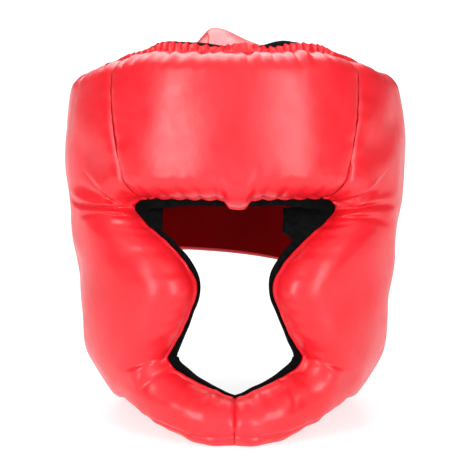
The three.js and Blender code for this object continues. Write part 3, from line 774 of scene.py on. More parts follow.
def sewing_thread():
    """Red polyester thread with a faint twist."""
    made, tree, main, place = shader("sewing_thread", Roughness=0.55, Sheen_Weight=0.1)
    twist = waves(tree, place, "DIAGONAL", 520)
    shades = (0.2, (0.62, 0.012, 0.02)), (0.8, (0.86, 0.06, 0.07))
    feed(tree, main, Base_Color=ramp(tree, twist, *shades))
    bump(tree, main, (twist, 0.4, 0.2))
    return made


OUTSIDE_SHADES = (0.66, 0.005, 0.012), (0.73, 0.009, 0.019), (0.78, 0.015, 0.027)
# The inside of the padding is the same red leather as the outside: these much darker shades are painted shade
# for the dim inside of the guard.
INSIDE_PAINTED_SHADE_TONES = (0.27, 0.0006, 0.002), (0.32, 0.001, 0.003), (0.36, 0.0016, 0.004)
BINDING_SHADES = (0.50, 0.008, 0.028), (0.56, 0.011, 0.035), (0.62, 0.016, 0.043)
LEATHER = red_leather("red_leather", OUTSIDE_SHADES, shine=0.48, rough=0.37)
INNER_LEATHER_PAINTED_SHADE = red_leather("inner_leather_painted_shade", INSIDE_PAINTED_SHADE_TONES, shine=0.05, rough=0.62)
BINDING = red_leather("edge_binding", BINDING_SHADES, shine=0.35, rough=0.45)
LINING_CLOTH = black_lining()
PILE = loop_pile()
THREAD = sewing_thread()


# The padding: forehead and cheeks

SEAM_SHARE = 0.012
CHIN_SHARE = 0.002
BROW = SEAM_AT - SEAM_SHARE
CHEEK = (SEAM_AT + SEAM_SHARE, CHIN_AT - CHIN_SHARE)
PAD_BULGE = (0.05, 0.05, 1.2, 1.6)
COARSER_COLUMNS = 4
COARSER_ROWS = 3


def build_pad(name, start, end, columns, rows_along, seed):
    u, r = np.linspace(start, end, columns), spread(rows_along)
    outer, inner = pad_grids(u, r, seed)
    coarse_u = np.linspace(start, end, columns // COARSER_COLUMNS)
    coarse_r = spread(rows_along // COARSER_ROWS)
    moved = blown(name + "_cloth", *pad_grids(coarse_u, coarse_r, seed), PAD_BULGE)
    across = stretch_rows(len(coarse_u), len(u))
    along = stretch_rows(len(coarse_r), len(r))
    outer = rested(outer + np.einsum("ai,bj,ijk->abk", across, along, moved))
    padded_piece(name, outer, inner, PAD_BULGE)


build_pad("forehead_pad", -BROW, BROW, columns=171, rows_along=84, seed=11)
build_pad("cheek_pad_left", *CHEEK, columns=261, rows_along=90, seed=23)
build_pad("cheek_pad_right", *(-end for end in CHEEK), columns=261, rows_along=90, seed=37)


# The ear panels

CHEEK_SPANS = 40        # spans of the cheek's solid; the ear's ends are on its first and last lines in reach
cheek_columns = np.linspace(SEAM_AT + SEAM_SHARE, CHIN_AT - SEAM_SHARE, CHEEK_SPANS + 1)
ear_span = cheek_columns[(cheek_columns > EAR_TOP_AT) & (cheek_columns < EAR_BOTTOM_AT)]
EAR_SEAM = Sizes(at=0.64, wide=0.05, deep=1.0)
EAR_PUFF = Sizes(high=1.2, rear=0.7)
EAR_SURFACE = Sizes(long=24, deep=0.3, seed=51)
EAR_BULGE = (0.5, 0.5, 0.3, 0.3)
VENT_RIM = Sizes(thick=0.9, wider=0.5, raised=0.9)


def ear_grids(side):
    u = np.linspace(ear_span[0], ear_span[-1], 121)
    share = np.linspace(0, 1, 29)[None, :]
    z = curve(STATIONS, "z", u)[:, None]
    front = curve(STATIONS, "angle", u)[:, None] + 3 * GAP_DEG
    back = curve(EAR_ROWS, "back", u)[:, None] - GAP_DEG
    angle = side * np.radians(mix(front, back, share))
    seam = EAR_SEAM.at
    puff = np.sin(np.pi * np.clip(share / seam, 0, 1))
    puff = puff + EAR_PUFF.rear * np.sin(np.pi * np.clip((share - seam) / (1 - seam), 0, 1))
    depth = EAR_INSIDE - EAR_SKIN - EAR_PUFF.high * puff
    depth = depth + groove(EAR_SEAM, share) + surface(EAR_SURFACE, angle, z, EAR_SURFACE.seed)
    return wall(angle, z, depth), wall(angle, z, EAR_INSIDE)


def circle(count):
    return 2 * np.pi * np.arange(count) / count


def spokes(axis, count=28):
    """Directions all round an axis."""
    side = unit(np.cross(axis, (0, 0, 1)))
    turn = circle(count)[:, None]
    return np.cos(turn) * side + np.sin(turn) * np.cross(side, axis)


def ring_skin(centre, axis, radius, thick, sides=8):
    """A rolled ring."""
    roll = circle(sides)[:, None]
    out = spokes(axis)[:, None] * (radius + thick * np.cos(roll))
    return closed_ring(centre + out + axis * thick * np.sin(roll))


def vent_bar(centre, axis, radius, half):
    """A closed round bar with flat faces, which cuts a vent."""
    out = radius * spokes(axis)
    points = np.concatenate((centre + out - axis * half, centre + out + axis * half))
    low = np.arange(len(out))
    after, high = np.roll(low, -1), len(out) + low
    faces = np.stack((low, high, np.roll(high, -1), after), -1).tolist()
    mesh = bpy.data.meshes.new("vent_bar")
    mesh.from_pydata(placed(points).tolist(), [], faces + [low.tolist(), high[::-1].tolist()])
    mesh.materials.append(LINING_CLOTH)
    return linked("vent_bar", mesh)


def build_ear_panel(name, side):
    outer, inner = ear_grids(side)
    skin = slab(outer, inner, EAR_BULGE)
    # The inner faces get the red leather darkened with painted shade.
    made = mesh_object(name + "_soft", *skin, LEATHER, inner_faces(outer, INNER_LEATHER_PAINTED_SHADE))
    angle = np.array(side * VENT_ANGLE)
    rims = []
    for z in np.array(VENT_HEIGHTS):
        axis = shell_normal(angle, z)
        bar = vent_bar(wall(angle, z, EAR_INSIDE - EAR_SKIN / 2), axis, VENT_RADIUS, 2 * EAR_SKIN)
        cut = made.modifiers.new("vent", "BOOLEAN")
        cut.operation = "DIFFERENCE"
        cut.solver = "EXACT"
        cut.material_mode = "TRANSFER"
        cut.object = bar
        made.data = finished_mesh(made)
        remove(bar)
        face = wall(angle, z, EAR_INSIDE - EAR_SKIN - VENT_RIM.raised)
        rims.append(ring_skin(face, axis, VENT_RADIUS + VENT_RIM.wider, VENT_RIM.thick))
    settle(made, name)
    settle(mesh_object(name + "_vent_rims", *joined(rims), LEATHER))


build_ear_panel("ear_panel_left", 1)
build_ear_panel("ear_panel_right", -1)


# The rear wings

WING_SEAM = Sizes(at=0.62, wide=0.03, deep=1.6)      # seam of the gathered strip by the rear edge
WING_HEM = Sizes(at=9.0, wide=1.4, deep=1.1)         # seam of the bound lower edge, in mm from it
WING_GATHER = Sizes(long=5, deep=0.5, at=0.2, fade=0.25, sunk=2.0)
WING_PUCKER = Sizes(long=22, deep=0.25, at=3, fade=9)
WING_SURFACE = Sizes(long=40, deep=0.7)
WING_FOLD = Sizes(z=112, angle=math.radians(112), turn=0.7, deep=1.6, wide=3.0)
WING_RIDGE = Sizes(share=0.5, at=6, wide=4.5)        # what stands up beside the fold
WING_BULGE = (1.0, 1.5, 0.3, 0.2)
WING_LEAST = 4


def wing_grids(side, seed):
    u = np.linspace(ear_span[0], ear_span[-1], 151)
    v = np.linspace(0, 1, 151)[:, None]
    share = spread(72)[None, :]
    front = curve(EAR_ROWS, "back", u)[:, None] + GAP_DEG
    rear_z = curve(EAR_ROWS, "rear_z", u)[:, None]
    angle = side * np.radians(mix(front, WING_ANGLE, share))
    z = mix(curve(STATIONS, "z", u)[:, None], rear_z, share)
    ends = shell(angle, z)
    width = norm(ends[:, -1] - ends[:, 0])[:, None]
    across = 1 - rounded(np.minimum(share, 1 - share) * width / WING_ROLL)
    up = 1 - rounded(np.minimum(v, 1 - v) * WING_HIGH / WING_ROLL)
    full = np.maximum(1 - np.hypot(across, up) * (1 - WING_SEAT), WING_SEAT)
    depth = mix(WING_IN, WING_OUT, full)

    strip = np.clip((share - WING_SEAM.at) / (1 - WING_SEAM.at), 0, 1)
    depth = depth + puckers(WING_GATHER, z, strip, seed) * (strip > 0)
    depth = depth + WING_GATHER.sunk * strip * (1 - strip)
    depth = depth + groove(WING_SEAM, share) + groove(WING_HEM, (1 - v) * WING_HIGH)
    depth = depth + puckers(WING_PUCKER, z, share * width, seed + 1)
    depth = depth + surface(WING_SURFACE, angle, z, seed + 2)
    fold = (z - WING_FOLD.z) * math.cos(WING_FOLD.turn)
    fold = fold - AROUND * (np.abs(angle) - WING_FOLD.angle) * math.sin(WING_FOLD.turn)
    ridge = WING_RIDGE.share * bell(fold - WING_RIDGE.at, WING_RIDGE.wide)
    inner_share = np.clip(np.sin(np.pi * share), 0, 1)
    depth = depth + WING_FOLD.deep * (bell(fold, WING_FOLD.wide) - ridge) * inner_share
    return wall(angle, z, np.minimum(depth, WING_IN - WING_LEAST)), wall(angle, z, WING_IN)


WINGS = []
for name, side, seed in (("rear_wing_left", 1, 61), ("rear_wing_right", -1, 67)):
    wing_outer, wing_inner = wing_grids(side, seed)
    padded_piece(name, wing_outer, wing_inner, WING_BULGE)
    WINGS.append(wing_outer)


# The rear closure

HEM = Sizes(deep=0.9, wide=1.3, raised=0.5)
BAND_BIND = 7.0
BAND_SURFACE = Sizes(long=38, deep=0.5, fade=10, seed=71)
FLAP_BIND = 6.0
FLAP_SURFACE = Sizes(long=30, deep=0.5, fade=10, seed=73)
FLAP_SEAMS = (141.0, 181.0)
FLAP_GROOVE = Sizes(deep=1.1, wide=1.3)
FLAP_RIDGE = Sizes(high=0.6, at=5, wide=4)
FLAP_BINDING = 4         # columns of its grid that the binding of the free edge covers
PATCH_SURFACE = Sizes(long=20, deep=0.15, seed=79)
BAND_BULGE = (0.1, 1.4, 1.8, 1.8)
PATCH_BULGE = (0.5, 0.5, 0.5, 0.5)
FLAP_BULGE = (0.3, 1.6, 1.8, 1.8)


def strip_grids(table, start, end, depth, thick, shape, columns, lanes):
    """Outer and inner grids of a curved strip; shape gives how much deeper the outside is at each place."""
    share = np.linspace(0, 1, columns)[:, None]
    lane = np.linspace(0, 1, lanes)[None, :]
    low, high = curve(table, "low", share), curve(table, "high", share)
    angle = np.radians(mix(start, end, share)) + 0 * lane
    z = mix(low, high, lane)
    extra = shape(share, np.minimum(z - low, high - z), angle, z)
    return wall(angle, z, depth + extra), wall(angle, z, depth + thick)


def hemmed(border, bind, kind, angle, z):
    """Uneven leather with a bound edge: raised by the border, with a groove where it is sewn down."""
    hem = HEM.deep * bell(border - bind, HEM.wide) - HEM.raised * np.clip(1 - border / bind, 0, 1)
    return hem + surface(kind, angle, z, kind.seed) * np.clip(border / kind.fade, 0, 1)


def band_shape(share, border, angle, z):
    return hemmed(border, BAND_BIND, BAND_SURFACE, angle, z)


def flap_shape(share, border, angle, z):
    long = AROUND * math.radians(FLAP_ROOT - FLAP_END)
    depth = hemmed(np.minimum(border, (1 - share) * long), FLAP_BIND, FLAP_SURFACE, angle, z)
    for seam in FLAP_SEAMS:
        depth = depth + FLAP_GROOVE.deep * bell(z - seam, FLAP_GROOVE.wide)
        depth = depth - FLAP_RIDGE.high * bell(z - seam - FLAP_RIDGE.at, FLAP_RIDGE.wide)
    return depth


def patch_shape(share, border, angle, z):
    return surface(PATCH_SURFACE, angle, z, PATCH_SURFACE.seed)


band_outer, band_inner = strip_grids(
    BAND_ROWS, ROOT_ANGLE, BAND_END, BAND_DEPTH, SKIN, band_shape, columns=141, lanes=81
)
padded_piece("rear_band", band_outer, band_inner, BAND_BULGE)

patch_outer, patch_inner = strip_grids(
    PATCH_ROWS, PATCH_FROM, PATCH_TO, PATCH_DEPTH, LINING, patch_shape, columns=121, lanes=49
)
patch = mesh_object("loop_patch_tape", *slab(patch_outer, patch_inner, PATCH_BULGE), PILE)
settle(patch, "loop_patch")

flap_outer, flap_inner = strip_grids(
    FLAP_ROWS, FLAP_ROOT, FLAP_END, FLAP_DEPTH, SKIN, flap_shape, columns=81, lanes=81
)
flap_faces = inner_faces(flap_outer, BINDING)[0]
flap_bound = (flap_faces - FLAP_BINDING * (flap_outer.shape[1] - 1), flap_faces, BINDING)
padded_piece("closing_flap", flap_outer, flap_inner, FLAP_BULGE, behind=flap_bound)


# The crown

CROWN_NECK_ROWS = 16
CROWN_ARM_ROWS = 34
CROWN_LANES = 36
CROWN_SHARP_DEG = 50
STEEPEST = 0.995
PLACE_STEPS = 100       # to the millimetre: places of the plan that are nearer than that are the same
CROWN_HEM = Sizes(at=6.0, wide=1.2, deep=0.7, raised=0.35)
CROWN_SURFACE = Sizes(long=30, deep=0.35, fade=8, seed=83)
LINING_SURFACE = Sizes(long=25, deep=0.15, seed=89)


def arm_drop(arm, out):
    end = math.radians(arm.end_deg)
    slope = np.minimum(out * math.sin(end) / (arm.reach + arm.bulge), STEEPEST)
    return arm.drop * (1 - np.sqrt(1 - slope**2)) / (1 - math.cos(end))


def crown_height(x, y):
    front, left, rear, right = CROWN_ARMS
    wide = np.where(x < CROWN_FOLD.x, CROWN_FOLD.right, CROWN_FOLD.left)
    fold = CROWN_FOLD.high * bell(x - CROWN_FOLD.x, wide) * bell(y - CROWN_FOLD.y, CROWN_FOLD.long)
    drop = np.where(x < 0, arm_drop(right, np.abs(x)), arm_drop(left, np.abs(x)))
    drop = drop + np.where(y < 0, arm_drop(front, np.abs(y)), arm_drop(rear, np.abs(y)))
    return CROWN_TOP + fold - drop


def crown_points(x, y, under, step=0.5):
    slope_x = (crown_height(x + step, y) - crown_height(x - step, y)) / (2 * step)
    slope_y = (crown_height(x, y + step) - crown_height(x, y - step)) / (2 * step)
    normal = unit(np.stack((-slope_x, -slope_y, np.ones_like(x)), -1))
    return np.stack((x, y + CROWN_Y, crown_height(x, y)), -1) - normal * np.asarray(under)[..., None]


def arm_width(arm, out):
    share = (out - CROWN_NECK) / (arm.reach - CROWN_NECK)
    narrowing = mix(CROWN_NECK, CROWN_ARM, np.sin(np.pi / 2 * np.clip(share * 2, 0, 1)))
    wide = mix(narrowing, arm.end_wide, np.clip(share * 2 - 1, 0, 1) ** 2)
    return np.where(out <= CROWN_NECK, out, wide)


def arm_place(arm, out, side):
    """Plan place at a distance out along an arm and a distance to its side."""
    lane = side / np.maximum(arm_width(arm, out), 1e-6)
    beyond = np.clip((out - CROWN_NECK) / (arm.reach - CROWN_NECK), 0, 1)
    far = out + arm.bulge * beyond**2 * (1 - lane**2)
    x = arm.x * far if arm.x else -arm.y * side
    y = arm.y * far if arm.y else arm.x * side
    return np.broadcast_arrays(x, y)


def crown_plan():
    """The cross in plan, its arms sharing their diagonals: places, faces and distances from the border."""
    places, faces, border = {}, [], []
    for arm in CROWN_ARMS:
        end = math.radians(arm.end_deg)
        first = math.asin(CROWN_NECK * math.sin(end) / arm.reach)
        turns = np.linspace(first, end, CROWN_ARM_ROWS + 1)[1:]
        neck = np.linspace(0, CROWN_NECK, CROWN_NECK_ROWS + 1)
        outs = np.concatenate((neck, arm.reach * np.sin(turns) / math.sin(end)))[:, None]
        lane = np.linspace(-1, 1, CROWN_LANES + 1)[None, :]
        wide = arm_width(arm, outs)
        x, y = arm_place(arm, outs, lane * wide)
        corner = np.hypot(np.maximum(CROWN_NECK - np.abs(x), 0), np.maximum(CROWN_NECK - np.abs(y), 0))
        beside = np.minimum(wide * (1 - np.abs(lane)), corner + wide)
        gap = np.where(outs <= CROWN_NECK, corner, beside)
        number = np.empty(x.shape, int)
        for index in np.ndindex(x.shape):
            key = (round(x[index] * PLACE_STEPS), round(y[index] * PLACE_STEPS))
            if key not in places:
                places[key] = (len(places), x[index], y[index])
                border.append(gap[index])
            number[index] = places[key][0]
        for quad in number.reshape(-1)[grid_faces(*x.shape)].tolist():
            face = list(dict.fromkeys(quad))
            if len(face) > 2:
                faces.append(face)
    return np.array([(x, y) for _, x, y in places.values()]), faces, np.array(border)


def crown_skin(under, thick, shape):
    """A sheet of one thickness under the crown's surface, walled along its border."""
    spots, faces, border = crown_plan()
    x, y = spots.T
    top = crown_points(x, y, under + shape(border, x, y))
    bottom = crown_points(x, y, under + thick)
    count = len(spots)
    edges = dict.fromkeys(pair for face in faces for pair in zip(face, face[1:] + face[:1]))
    skin = faces + [[count + i for i in face[::-1]] for face in faces]
    skin += [[b, a, count + a, count + b] for a, b in edges if (b, a) not in edges]
    return np.concatenate((top, bottom)), skin


def plain_crown(border, x, y, kind=LINING_SURFACE):
    return kind.deep * soft(x, y, kind.long, kind.seed)


def bound_crown(border, x, y):
    wrinkles = plain_crown(border, x, y, CROWN_SURFACE) * np.clip(border / CROWN_SURFACE.fade, 0, 1)
    return groove(CROWN_HEM, border) - CROWN_HEM.raised * np.clip(1 - border / CROWN_HEM.at, 0, 1) + wrinkles


def build_crown(name, skin, material, solid):
    return settle(mesh_object(name, *skin, material, sharp_deg=CROWN_SHARP_DEG), solid)


cross_skin = crown_skin(0, CROWN_SKIN, bound_crown)
crown = build_crown("crown_cross_soft", cross_skin, LEATHER, "crown_cross")
lining_skin = crown_skin(CROWN_SKIN + SEAM_GAP, LINING, plain_crown)
lining = build_crown("crown_lining_cloth", lining_skin, LINING_CLOTH, "crown_lining")


# The black facing round the inside of the face opening

FACING_WIDE = 9.0
FACING_MOST = 0.9       # of a line's length
FACING_GAP = 0.35
FACING_STEP = 0.04
FACING_LIP = Sizes(wide=2.2, uneven=0.1, long=23)
LIP_ROWS = np.linspace(1, 0.25, 4)[None, :, None]
# Where the facing shows wider: under the brow and in the corners of the opening
FACING_CORNERS = rows(
    "at wide left right",
    (0.6, 1.6, 2.6, 2.6),
    (2.7, 1.0, 4.5, 4.5),
    (8.8, 1.6, 2.8, 1.2),
    (15.3, 1.5, 4.2, 5.4),
)
# The facing's web across each eye corner: from brow to cheek, in to this far from the middle, under the brow
EYE_WEB = Sizes(brow=2.6, corner=5.0, cheek=8.4, fade=0.6, left=32.0, right=47.0, z=147.0)


def facing_sections():
    half = np.linspace(0, CHIN_AT, 221)
    u = np.concatenate((half, -half[-2:0:-1]))
    size = np.abs(u)
    at = lines(u)
    column = as_columns(at)
    within = np.minimum(FACING_WIDE / column.length, FACING_MOST)
    share = np.linspace(0, 1, 9)[None, :]

    def inside(r, more):
        depth = inside_depth(column, *distances(column, r)) + FACING_GAP + more
        return wall(*on_course(at, r), depth)

    front, back = inside(share * within, 0), inside(share * within, LINING)
    rim, further = front[:, 0], inside(FACING_STEP + 0 * within, 0)[:, 0]
    normal = shell_normal(*on_course(at, 0 * within))[:, 0]
    inward = np.cross(normal, unit(np.roll(rim, -1, 0) - np.roll(rim, 1, 0)))
    inward = unit(inward * np.sign(((rim - further) * inward).sum(-1, keepdims=True)))
    lip = FACING_LIP.wide * (1 + FACING_LIP.uneven * uneven(at["rim_run"], FACING_LIP.long, 97))
    for row in each_row(FACING_CORNERS):
        lip = lip + np.where(u > 0, row.left, row.right) * bell(size - row.at, row.wide)
    from_brow = np.clip((size - EYE_WEB.brow) / (EYE_WEB.corner - EYE_WEB.brow), 0, 1)
    from_cheek = np.clip((EYE_WEB.cheek - size) / EYE_WEB.fade, 0, 1)
    web_x = np.where(u > 0, EYE_WEB.left, EYE_WEB.right)
    web = -np.maximum(np.abs(rim[:, 0]) - web_x, 0) * from_brow**2 * from_cheek
    fall = -np.maximum(rim[:, 2] - EYE_WEB.z, 0) * from_brow * (size < EYE_WEB.corner)
    reach = inward * lip[:, None] + np.stack((np.sign(u) * web, 0 * u, fall), -1)
    lip_front = front[:, :1] + reach[:, None] * LIP_ROWS
    lip_back = lip_front[:, ::-1] - normal[:, None] * LINING
    return np.concatenate((lip_front, front, back[:, ::-1], lip_back), 1)


facing_grid = facing_sections()
facing = mesh_object("rim_facing_cloth", *closed_ring(facing_grid), LINING_CLOTH)
settle(facing, "rim_facing")


# The gathered strip along the top edge

GATHER_END = EAR_TOP_AT - 0.25
GATHER_WAVES = 46
GATHER_STEPS = 14       # columns to a wave
GATHER_HIGH = 5.2
GATHER_LOWER = 0.4      # how much lower its back is where nothing lifts it
GATHER_THICK = 1.2
GATHER_WAVE = 1.0
GATHER_LIFT = 0.9
GATHER_DEPTH = 17.5
GATHER_BULGE = (0.4, 0.4, 0.2, 0.3)
# Its unevenness along the lines: how far the waves drift, how they swell, how the strip sways, and where the
# black lining stands higher behind it
GATHER_DRIFT = Sizes(deep=2.0, long=1.3, seed=103)
GATHER_SWELL = Sizes(least=0.8, deep=0.6, long=0.7, seed=107)
GATHER_SWAY = Sizes(deep=1.3, long=1.6, seed=113)
GATHER_BACK = Sizes(high=1.4, least=0.2, most=1.6, deep=1.4, long=2.6, seed=109, rise=1.6)


def along_strip(kind, u):
    return kind.deep * uneven(u, kind.long, kind.seed)


def gather_grids():
    u = np.linspace(-GATHER_END, GATHER_END, GATHER_WAVES * GATHER_STEPS + 1)[:, None]
    angle, z = on_course(course(u[:, 0]), np.array([[1.0]]))
    phase = np.pi * GATHER_WAVES * (u / GATHER_END) + along_strip(GATHER_DRIFT, u)
    wave = np.sin(phase) * (GATHER_SWELL.least + along_strip(GATHER_SWELL, u))
    share = np.linspace(0, 1, 9)[None, :]
    rise = z + SEAM_GAP + share * (GATHER_HIGH + GATHER_LIFT * wave + along_strip(GATHER_SWAY, u))
    lifted = np.clip(GATHER_BACK.least + along_strip(GATHER_BACK, u), 0, GATHER_BACK.most)
    higher = share**2 * GATHER_BACK.high * lifted
    back_rise = z + SEAM_GAP + share * (GATHER_HIGH - GATHER_LOWER) + GATHER_BACK.rise * higher
    back = wall(angle, back_rise, GATHER_DEPTH + GATHER_THICK + GATHER_WAVE + higher)
    return wall(angle, rise, GATHER_DEPTH + GATHER_WAVE * wave * share), back


gather_outer, gather_inner = gather_grids()
gather_skin = slab(gather_outer, gather_inner, GATHER_BULGE)
gather_behind = (inner_faces(gather_outer, LINING_CLOTH)[0], None, LINING_CLOTH)
gather = mesh_object("top_edge_gather_soft", *gather_skin, LEATHER, gather_behind)
settle(gather, "top_edge_gather")


# Node trees for what repeats

def new_tree(name, sizes):
    """A tree with named inputs for sizes and a material; with it, their identifiers and their sockets."""
    tree = bpy.data.node_groups.new(name, "GeometryNodeTree")
    add = tree.interface.new_socket
    add("Geometry", in_out="INPUT", socket_type="NodeSocketGeometry")
    names = {size: add(size, in_out="INPUT", socket_type="NodeSocketFloat").identifier for size in sizes}
    names["Material"] = add("Material", in_out="INPUT", socket_type="NodeSocketMaterial").identifier
    add("Geometry", in_out="OUTPUT", socket_type="NodeSocketGeometry")
    return tree, names, node(tree, "NodeGroupInput").outputs


def place_all(tree, given, points, shape, rotation):
    """Puts a shape on every point, makes the copies real and gives them the tree's material."""
    put = node(tree, "GeometryNodeInstanceOnPoints", Points=points, Instance=shape, Rotation=rotation)
    real = node(tree, "GeometryNodeRealizeInstances", Geometry=put.outputs["Instances"])
    painted = dict(Geometry=real.outputs["Geometry"], Material=given["Material"])
    paint = node(tree, "GeometryNodeSetMaterial", **painted)
    node(tree, "NodeGroupOutput", Geometry=paint.outputs["Geometry"])


def run_tree(made, tree, names, values):
    """Runs a node tree on an object with its sizes set, and keeps the plain mesh that comes out."""
    run = made.modifiers.new(tree.name, "NODES")
    run.node_group = tree
    for name, value in values.items():
        run[names[name]] = value
    made.data = finished_mesh(made)


# Stitches

STITCH_LONG = 2.6
STITCH_THICK = 0.75
STITCH_PITCH = 3.4


def stitch_tree():
    """A stitch at even steps along each path, lying in the direction stored on the path."""
    tree, names, given = new_tree("stitch_run", ("Pitch", "Long", "Thick"))
    path = node(tree, "GeometryNodeMeshToCurve", Mesh=given["Geometry"]).outputs["Curve"]
    even = node(tree, "GeometryNodeResampleCurve", {"mode": "LENGTH"}, Curve=path, Length=given["Pitch"])
    ball = node(tree, "GeometryNodeMeshUVSphere", Segments=6, Rings=5, Radius=0.5).outputs["Mesh"]
    size = node(tree, "ShaderNodeCombineXYZ", X=given["Long"], Y=given["Thick"], Z=given["Thick"])
    shape = node(tree, "GeometryNodeTransform", Geometry=ball, Scale=size.outputs["Vector"])
    lie = node(tree, "GeometryNodeInputNamedAttribute", {"data_type": "FLOAT_VECTOR"}, Name="lie")
    turn = node(tree, "FunctionNodeAlignRotationToVector", {"axis": "X"}, Vector=lie.outputs["Attribute"])
    place_all(tree, given, even.outputs["Curve"], shape.outputs["Geometry"], turn.outputs["Rotation"])
    return tree, names


STITCHES = stitch_tree()


def sew(name, paths, pitch=STITCH_PITCH, long=STITCH_LONG, thick=STITCH_THICK):
    """Stitches along paths of (points, directions) in upright millimetres; without directions they follow
    the path."""
    points, edges, lies, start = [], [], [], 0
    for path, lie in paths:
        path = placed(path)
        points.append(path)
        lies.append(unit(np.gradient(path, axis=0)) if lie is None else lie)
        edges += [(start + i, start + i + 1) for i in range(len(path) - 1)]
        start += len(path)
    mesh = bpy.data.meshes.new(name)
    mesh.from_pydata(np.concatenate(points).tolist(), edges, [])
    stored = mesh.attributes.new("lie", "FLOAT_VECTOR", "POINT")
    stored.data.foreach_set("vector", np.concatenate(lies).astype(np.float32).reshape(-1))
    made = linked(name, mesh)
    values = {"Pitch": pitch * MM, "Long": long * MM, "Thick": thick * MM, "Material": THREAD}
    run_tree(made, *STITCHES, values)
    smooth(made.data)
    settle(made)


def lane_path(grid, share_from, share_to, lane_from, lane_to, count=160):
    """A path over a grid of points, between two places given as shares of its columns and rows."""
    m, n = grid.shape[:2]
    a = np.linspace(share_from, share_to, count) * (m - 1)
    b = np.linspace(lane_from, lane_to, count) * (n - 1)
    i, j = np.clip(a.astype(int), 0, m - 2), np.clip(b.astype(int), 0, n - 2)
    s, t = (a - i)[:, None], (b - j)[:, None]
    near = mix(grid[i, j], grid[i, j + 1], t)
    far = mix(grid[i + 1, j], grid[i + 1, j + 1], t)
    return mix(near, far, s)


def along(grid, start, end, lanes):
    """Rows of stitches along a grid's columns, from one share of them to another."""
    return [(lane_path(grid, start, end, lane, lane), None) for lane in lanes]


def across(grid, start, end, columns):
    """Rows of stitches along a grid's rows, from one share of them to another."""
    return [(lane_path(grid, column, column, start, end), None) for column in columns]


def ladder(grid, lane, start=0.03, end=0.97, aside=0.02):
    """A path along a grid's columns at one share of its rows, with the direction across it."""
    path, beside = (lane_path(grid, start, end, at, at) for at in (lane, lane - aside))
    return path, unit(placed(path) - placed(beside))


CROWN_INSETS = (3.2, 7.6)       # of the crown's two rows of stitches from its border, in mm
CROWN_ROW_END = 0.99
CROWN_SUNK = 0.1


def crown_paths():
    """Rows of stitches round each inner corner of the crown, out along one arm and back along the next."""
    paths = []
    for first, second in zip(CROWN_ARMS, CROWN_ARMS[1:] + CROWN_ARMS[:1]):
        for inset in CROWN_INSETS:
            spots = []
            for arm, sign, order in ((first, 1, -1), (second, -1, 1)):
                out = np.linspace(CROWN_NECK, arm.reach * CROWN_ROW_END, 70)
                x, y = arm_place(arm, out, sign * (arm_width(arm, out) - inset))
                spots.append(np.stack((x, y), -1)[::order])
            paths.append((crown_points(*np.concatenate(spots).T, CROWN_SUNK), None))
    return paths


# Where the rows are, as shares of each piece's grid
BAND_LANES = (0.035, 0.11, 0.89, 0.965)
FLAP_LANES = (0.035, 0.965)
FLAP_ASIDE = 2.2                # of the rows beside the flap's seams, in mm
FLAP_ROW_END = 0.93
WING_LADDER = 0.93
WING_ROWS = (0.955, 0.975)
WING_LANE = 0.65

sew("crown_stitches", crown_paths())
sew("band_stitches", along(band_outer, 0.0, 0.99, BAND_LANES))
flap_low, flap_high = FLAP_ROWS["low"][1], FLAP_ROWS["high"][1]
seam_lanes = [(seam + FLAP_ASIDE - flap_low) / (flap_high - flap_low) for seam in FLAP_SEAMS]
flap_rows = along(flap_outer, 0.0, 0.96, FLAP_LANES) + along(flap_outer, 0.02, FLAP_ROW_END, seam_lanes)
sew("flap_stitches", flap_rows + across(flap_outer, 0.03, 0.97, [FLAP_ROW_END]))
sew("wing_ladder_stitches", [ladder(grid, WING_LADDER) for grid in WINGS], pitch=3.0, long=4.6, thick=0.8)
wing_rows = []
for wing_outer in WINGS:
    wing_rows += across(wing_outer, 0.06, 0.9, WING_ROWS) + along(wing_outer, 0.04, 0.94, [WING_LANE])
sew("wing_stitches", wing_rows)


# The pile of the loop patch, where the flap leaves it bare

LOOP = Sizes(per_mm2=0.77, radius=0.75, thick=0.15, start_deg=-35.0, sweep_deg=250.0, tilt=0.5)
LOOP_CLEAR_DEG = 1.5        # how far from the flap's end the loops stop


def loop_tree():
    """Small loops standing all over a surface, each turned its own way."""
    tree, names, given = new_tree("loop_pile", ("Density", "Radius", "Thick", "Start", "Sweep"))
    scatter = node(
        tree, "GeometryNodeDistributePointsOnFaces", Mesh=given["Geometry"], Density=given["Density"], Seed=5
    ).outputs
    arc = node(
        tree, "GeometryNodeCurveArc", Resolution=6, Radius=given["Radius"],
        Start_Angle=given["Start"], Sweep_Angle=given["Sweep"],
    ).outputs["Curve"]
    strand = node(tree, "GeometryNodeCurvePrimitiveCircle", Resolution=3, Radius=given["Thick"])
    profile = strand.outputs["Curve"]
    loop = node(tree, "GeometryNodeCurveToMesh", Curve=arc, Profile_Curve=profile, Fill_Caps=True)
    upright = (math.radians(90), 0, 0)
    stand = node(tree, "GeometryNodeTransform", Geometry=loop.outputs["Mesh"], Rotation=upright)
    tilt = LOOP.tilt
    limits = dict(Min=(-tilt, -tilt, 0), Max=(tilt, tilt, 2 * math.pi))
    chance = node(tree, "FunctionNodeRandomValue", {"data_type": "FLOAT_VECTOR"}, **limits)
    spin = node(tree, "FunctionNodeEulerToRotation", Euler=chance.outputs[0]).outputs["Rotation"]
    local = {"rotation_space": "LOCAL"}
    turn = node(tree, "FunctionNodeRotateRotation", local, Rotation=scatter["Rotation"], Rotate_By=spin)
    place_all(tree, given, scatter["Points"], stand.outputs["Geometry"], turn.outputs["Rotation"])
    return tree, names


